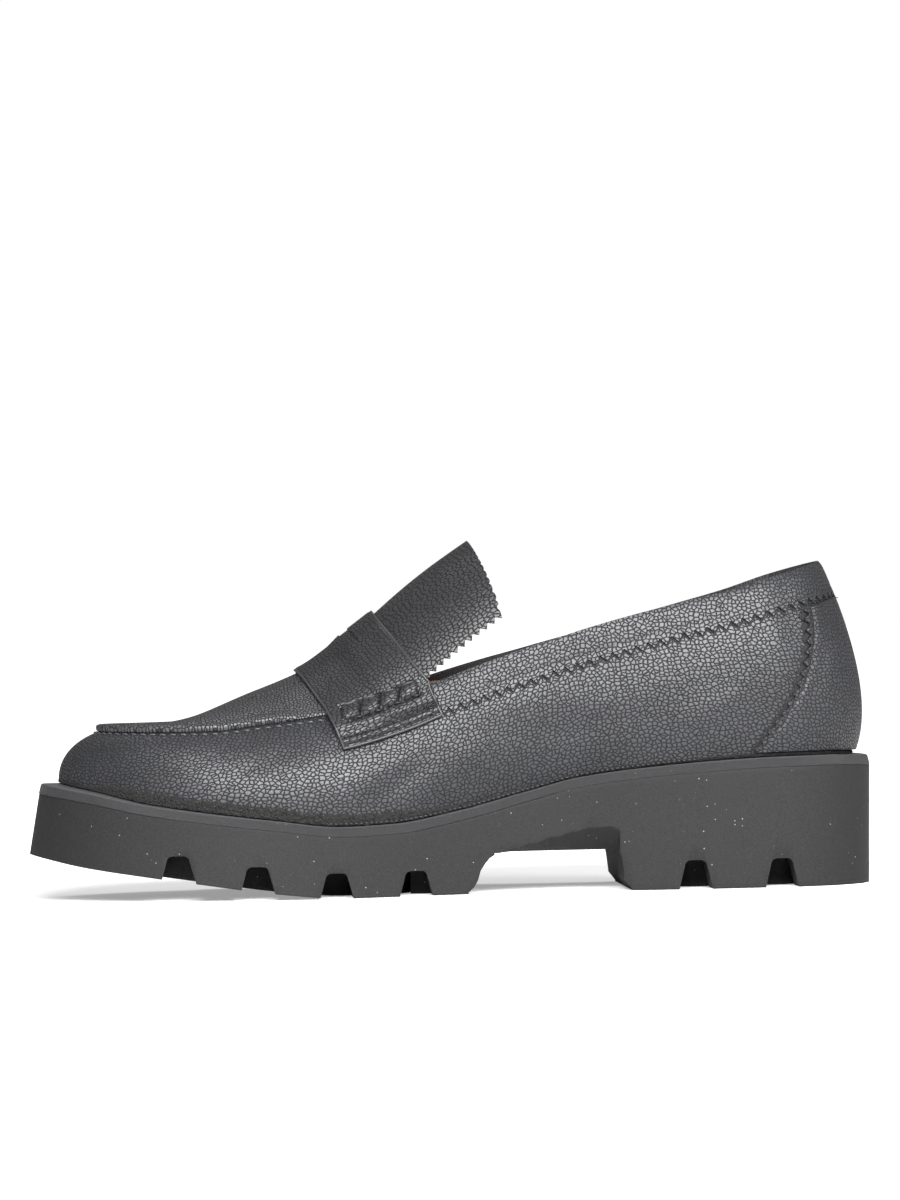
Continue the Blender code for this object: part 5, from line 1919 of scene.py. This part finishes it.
@dataclass
class Unit:
    """The rubber unit with its lugs, and the trimmed band on top of it."""

    welt_thick: float = 3.3
    welt_lean: float = 0.6
    welt_round: float = 0.7
    inset: float = 0.1
    lug_depth: float = 8.0
    heel_lug_depth: float = 9.3
    groove_foot: float = 10.8
    groove_head: float = 6.2
    groove_reach: float = 17.0
    groove_round: float = 2.0
    fore_grooves: tuple[float, ...] = (-89.1, -64.1, -39.0, -13.5)
    heel_grooves: tuple[float, ...] = (76.2, 103.9)
    channel_inset: tuple[float, float] = (15.5, 20.0)
    island_round: tuple[float, float] = (0.14, 2.6)
    cross_width: float = 4.5
    arch: tuple[float, float] = (5.8, 54.2)
    arch_height: float = 12.9
    scoop: tuple = (
        (12.0, 0.0), (17.5, 1.4), (23.5, 3.1), (30.0, 5.0),
        (37.0, 6.5), (42.0, 7.3), (48.5, 7.1), (52.2, 5.6),
    )
    scoop_gain: float = 1.45
    scoop_depth: tuple[float, float] = (-34.0, -20.0)
    below: float = 6.0
    columns: int = 240
    piece: bpy.types.Object | None = None
    cutters: list = field(default_factory=list)

    def build(self) -> None:
        """Builds the band and the unit."""
        self.build_band()
        self.build_unit()

    def build_band(self) -> None:
        """Builds the band's plate with its leaning, lined face and rounded top edge."""
        turns = np.arange(self.columns * 2) / (self.columns * 2)
        top = LAST.welt_top(turns)
        ledge = smooth(LAST.sole, "ledge", LAST.share_of(turns))
        corner = self.welt_lean + self.welt_round
        rows = [(0.25, self.welt_thick), (0.0, self.welt_thick - 0.25)]
        face = self.welt_thick - 0.95
        rows += [(self.welt_lean * s, self.welt_thick - 0.25 - face * s) for s in (0.3, 0.6, 1.0)]
        rows += [(self.welt_lean + 0.2, 0.25), (corner - 0.15, 0.06), (corner + 0.3, 0.0)]
        rings = [with_height(LAST.sole_edge(turns, -inset), top - drop) for inset, drop in rows]
        rings.append(with_height(LAST.sole_edge(turns, -ledge), top))
        piece = add_piece("welt_band", stack(rings), BAND, "midsole")
        drops = [drop for _, drop in rows] + [0.0]
        mark(piece, "drop", np.repeat(np.array(drops) / self.welt_thick, len(turns)))

    def build_unit(self) -> None:
        """Builds the unit and cuts arch, grooves and channels into it."""
        turns = np.arange(self.columns) / self.columns
        share = LAST.share_of(turns)
        flare, tread = smooth(LAST.sole, "flare", share), smooth(LAST.sole, "tread", share)
        foot = with_height(LAST.sole_edge(turns, flare), tread)
        top = LAST.welt_top(turns) - self.welt_thick - 0.02
        head = with_height(LAST.sole_edge(turns, -self.inset), top)
        rings = [foot + (head - foot) * s for s in (0.0, 0.04, 0.2, 0.4, 0.6, 0.8, 0.96, 1.0)]
        self.piece = add_piece("rubber_unit", stack(rings), RUBBER, "outsole")
        self.cut_arch()
        self.cut_grooves()
        self.cut_islands()
        bevel = self.piece.modifiers.new("arrises", "BEVEL")
        bevel.width = 0.35 * MM
        bevel.segments = 2
        bevel.limit_method = "ANGLE"
        bevel.angle_limit = math.radians(38)
        self.bake()

    def bake(self) -> None:
        """Applies the cuts and clears the cutters away."""
        piece = self.piece
        finished = piece.evaluated_get(bpy.context.evaluated_depsgraph_get())
        mesh = bpy.data.meshes.new_from_object(finished)
        piece.modifiers.clear()
        old = piece.data
        piece.data = mesh
        bpy.data.meshes.remove(old)
        mesh.name = piece.name
        mesh.shade_smooth()
        mesh.set_sharp_from_angle(angle=math.radians(32))
        for cutter in self.cutters:
            bpy.data.objects.remove(cutter)
        LOG.info("%s: %d faces after cutting", piece.name, len(mesh.polygons))

    def cut(self, name: str, points: list, faces: list[list[int]]) -> None:
        """Cuts a solid out of the unit.

        Args:
            name: the cutter's name.
            points: the cutter's corners.
            faces: the cutter's faces.
        """
        mesh = bpy.data.meshes.new(name)
        mesh.from_pydata((np.asarray(points) * MM).tolist(), [], faces)
        cutter = bpy.data.objects.new(name, mesh)
        bpy.context.scene.collection.objects.link(cutter)
        self.cutters.append(cutter)
        modifier = self.piece.modifiers.new(name, "BOOLEAN")
        modifier.operation = "DIFFERENCE"
        modifier.solver = "EXACT"
        modifier.object = cutter

    @staticmethod
    def prism_faces(count: int) -> list[list[int]]:
        """Both ends and the sides of a prism on an outline of so many points."""
        ends = [list(range(count)), list(range(2 * count - 1, count - 1, -1))]
        return ends + [[(i + 1) % count, i, i + count, (i + 1) % count + count] for i in range(count)]

    def bar(self, name: str, outline: list, near: float, far: float) -> None:
        """Cuts a prism along Y on an outline of (x, z) points that runs anticlockwise as seen from -Y."""
        points = [(x, near, z) for x, z in outline] + [(x, far, z) for x, z in outline]
        self.cut(name, points, self.prism_faces(len(outline)))

    def cut_arch(self) -> None:
        """Cuts the gap between forefoot and heel, and the scoop in the inner side's edge above it."""
        front, back = self.arch
        top = self.arch_height
        outline = [
            (front - 4.0, -self.below), (back + 3.5, -self.below),
            (back + 1.5, 0.6), (back - 0.5, 3.2), (back - 1.2, 9.0),
            (back - 1.6, 11.2), (back - 2.4, 12.4), (back - 3.8, top),
            (front + 8.4, top), (front + 6.4, top - 0.5), (front + 4.6, top - 1.6),
            (front + 3.0, top - 3.4), (front + 1.6, 7.4), (front + 0.6, 4.2),
            (front - 0.6, 2.2), (front - 2.4, 0.6),
        ]
        self.bar("cut_arch", outline, -60.0, 60.0)
        first, last = self.scoop[0][0], self.scoop[-1][0]
        low = top - self.below
        near = [(x, top + rise * self.scoop_gain) for x, rise in self.scoop]
        near = [(first, low), *near, (last, low)]
        outer, inner = self.scoop_depth
        points = [(x, outer, z) for x, z in near] + [(x, inner, min(z, top - LAST.gap)) for x, z in near]
        self.cut("cut_scoop", points, [face[::-1] for face in self.prism_faces(len(near))])

    def cut_grooves(self) -> None:
        """Cuts the grooves through the rim of lugs, on both sides."""
        rows = [(x, self.lug_depth) for x in self.fore_grooves]
        rows += [(x, self.heel_lug_depth) for x in self.heel_grooves]
        for number, (x, depth) in enumerate(rows):
            turn = LAST.turn_of(LAST.sole_share(x))
            for side, where in ((Side.INNER, turn), (Side.OUTER, 1 - turn)):
                edge = float(LAST.sole_rim(where)[1])
                deep, wide = edge - side.value * self.groove_reach, edge + side.value * self.below
                name = f"cut_groove_{number}_{side.name.lower()}"
                self.bar(name, self.groove_outline(x, depth), min(deep, wide), max(deep, wide))

    def groove_outline(self, x: float, depth: float) -> list[tuple[float, float]]:
        """Outline of a groove: wider at its mouth and rounded at its head.

        Args:
            x: the groove's station.
            depth: its depth.

        Returns:
            The outline's (x, z) points.
        """
        base = float(smooth(LAST.sole, "tread", LAST.sole_share(x)))
        slope = (self.groove_foot - self.groove_head) / 2 / depth
        mouth = self.groove_foot / 2 + slope * self.below
        radius = self.groove_round
        corner = self.groove_foot / 2 - slope * (depth - radius)
        angles = [math.pi / 2 * n / 5 for n in range(1, 6)]
        arc = [(corner - radius * (1 - math.cos(a)), depth - radius * (1 - math.sin(a))) for a in angles]
        right = [(mouth, -self.below), (corner, depth - radius)] + arc
        left = [(-u, v) for u, v in reversed(right)]
        return [(x + u, base + v) for u, v in left[-1:] + right + left[:-1]]

    def island_ring(self, turns: np.ndarray, back: float, front: float, inset: float) -> np.ndarray:
        """Plan ring inside the tread, between two stations.

        Args:
            turns: places round the shoe.
            back: the ring's rear station.
            front: its front station.
            inset: distance inside the tread's edge.

        Returns:
            The ring's plan points.
        """
        local = LAST.share_of(turns)
        x = back + (front - back) * local
        share = LAST.sole_share(x)
        ends = LAST.rounding(share, LAST.heel_round, LAST.toe_round)
        half = smooth(LAST.sole, "half", share) * ends - inset
        half = half * LAST.rounding(local, self.island_round, self.island_round)
        return np.stack([x, smooth(LAST.sole, "centre", share) + side_of(turns) * half], axis=-1)

    def cut_islands(self) -> None:
        """Cuts the channels round the middle lugs, and the cross cuts between those lugs."""
        outer_inset, inner_inset = self.channel_inset
        width = inner_inset - outer_inset
        turns = np.arange(48) / 48
        islands = (
            ("fore", -12.0, -104.0, self.lug_depth, (-27.0, -52.0, -77.0)),
            ("heel", 112.0, 70.0, self.heel_lug_depth, (89.0,)),
        )
        for name, back, front, depth, cuts in islands:
            outer = self.island_ring(turns, back + width, front - width, outer_inset)
            inner = self.island_ring(turns, back, front, inner_inset)
            rings = []
            for ring, closed in ((outer, False), (outer, True), (inner, True), (inner, False)):
                tread = smooth(LAST.sole, "tread", LAST.sole_share(ring[:, 0]))
                rings.append(with_height(ring, tread + depth if closed else -self.below))
            count = len(turns)
            faces = []
            for level in range(len(rings)):
                base, after = level * count, (level + 1) % len(rings) * count
                for i in range(count):
                    j = (i + 1) % count
                    faces.append([base + i, after + i, after + j, base + j])
            self.cut(f"cut_channel_{name}", np.concatenate(rings), faces)
            for number, x in enumerate(cuts):
                share = LAST.sole_share(x)
                middle = float(smooth(LAST.sole, "centre", share))
                half = float(smooth(LAST.sole, "half", share)) - outer_inset - width / 2
                top = float(smooth(LAST.sole, "tread", share)) + depth - 0.5
                edge = self.cross_width / 2
                low = -self.below
                outline = [(x - edge - 1, low), (x + edge + 1, low), (x + edge, top), (x - edge, top)]
                self.bar(f"cut_cross_{name}_{number}", outline, middle - half, middle + half)


@dataclass
class Studio:
    """The pale floor, the lights and the camera."""

    camera_yaw: float = 3.2
    camera_roll: float = 1.15
    camera_distance: float = 2000.0
    camera_height: float = 93.9
    aim_x: float = 1.1
    lens: float = 185.19
    sensor: float = 36.0
    surround_light: float = 0.25
    floor_glow: float = 0.32
    floor_fade: tuple[float, float] = (0.15, 0.45)
    softboxes: tuple = (
        Softbox("front_softbox", (0.06, -1.44, 0.76), (1.1, 0.55), 66.0),
        Softbox("right_softbox", (1.30, -0.80, 0.70), (0.6, 0.6), 14.0),
        Softbox("floor_softbox", (0.0, 0.6, 1.8), (2.0, 0.8), 10.0),
    )

    def build(self) -> None:
        """Builds the studio."""
        self.build_camera()
        self.build_floor()
        self.build_lights()

    def build_camera(self) -> None:
        """Stands the camera level with the shoe, a little towards its toe."""
        data = bpy.data.cameras.new("camera")
        data.sensor_fit = "VERTICAL"
        data.sensor_height = self.sensor
        data.sensor_width = self.sensor
        data.lens = self.lens
        data.clip_end = 50.0
        camera = bpy.data.objects.new("camera", data)
        bpy.context.scene.collection.objects.link(camera)
        yaw = math.radians(self.camera_yaw)
        way = Vector((math.sin(yaw), math.cos(yaw), 0.0))
        aim = Vector((self.aim_x, 0.0, self.camera_height))
        camera.location = (aim - way * self.camera_distance) * MM
        camera.rotation_mode = "QUATERNION"
        roll = Quaternion((0.0, 0.0, 1.0), -math.radians(self.camera_roll))
        camera.rotation_quaternion = way.to_track_quat("-Z", "Y") @ roll
        bpy.context.scene.camera = camera

    def build_floor(self) -> None:
        """Lays a plain pale floor."""
        bpy.ops.mesh.primitive_plane_add(size=30.0, location=(0.0, 0.0, 0.0))
        floor = bpy.context.object
        floor.name = "floor"
        material = bpy.data.materials.new("pale_floor")
        material.use_nodes = True
        shader = material.node_tree.nodes["Principled BSDF"]
        shader.inputs["Base Color"].default_value = (0.93, 0.93, 0.93, 1.0)
        shader.inputs["Roughness"].default_value = 0.9
        shader.inputs["Specular IOR Level"].default_value = 0.1
        shader.inputs["Emission Color"].default_value = (1.0, 1.0, 1.0, 1.0)
        writer = NodeWriter(material.node_tree)
        seen = writer.add("ShaderNodeLightPath").outputs["Is Camera Ray"]
        place = writer.add("ShaderNodeTexCoord").outputs["Object"]
        reach = writer.add("ShaderNodeVectorMath", {0: place}, operation="LENGTH").outputs["Value"]
        whiter = writer.blend(writer.ramp(reach, *self.floor_fade), self.floor_glow, 1.0)
        glow = writer.maths("MULTIPLY", seen, whiter)
        material.node_tree.links.new(glow, shader.inputs["Emission Strength"])
        floor.data.materials.append(material)

    def build_lights(self) -> None:
        """Hangs the soft lights and sets the white surround."""
        scene = bpy.context.scene
        scene.view_settings.view_transform = "Standard"
        world = bpy.data.worlds.new("white_room")
        world.use_nodes = True
        back = world.node_tree.nodes["Background"]
        back.inputs["Color"].default_value = (1.0, 1.0, 1.0, 1.0)
        writer = NodeWriter(world.node_tree)
        seen = writer.add("ShaderNodeLightPath").outputs["Is Camera Ray"]
        world.node_tree.links.new(writer.blend(seen, self.surround_light, 1.0), back.inputs["Strength"])
        scene.world = world
        for box in self.softboxes:
            self.hang(box)

    @staticmethod
    def hang(box: Softbox) -> None:
        """Hangs one softbox, aimed at the shoe.

        Args:
            box: its name, its place and size in metres, and its power in watts.
        """
        data = bpy.data.lights.new(box.name, "AREA")
        data.shape = "RECTANGLE"
        data.size, data.size_y = box.size
        data.energy = box.power
        light = bpy.data.objects.new(box.name, data)
        bpy.context.scene.collection.objects.link(light)
        light.location = box.place
        light.rotation_mode = "QUATERNION"
        aim = Vector((0.0, 0.0, 0.05)) - Vector(box.place)
        light.rotation_quaternion = aim.to_track_quat("-Z", "Y")


def main() -> None:
    """Builds the studio and the shoe."""
    logging.basicConfig(level=logging.INFO, format="%(name)s %(message)s")
    Studio().build()
    strap, strip = Strap(), CollarStrip()
    Unit().build()
    Insole().build()
    Upper().build()
    LastedEdge().build()
    Apron().build()
    Tongue().build()
    strap.build()
    strip.build(strap)
    HeelCounter().build(strip)


if __name__ == "__main__":
    main()
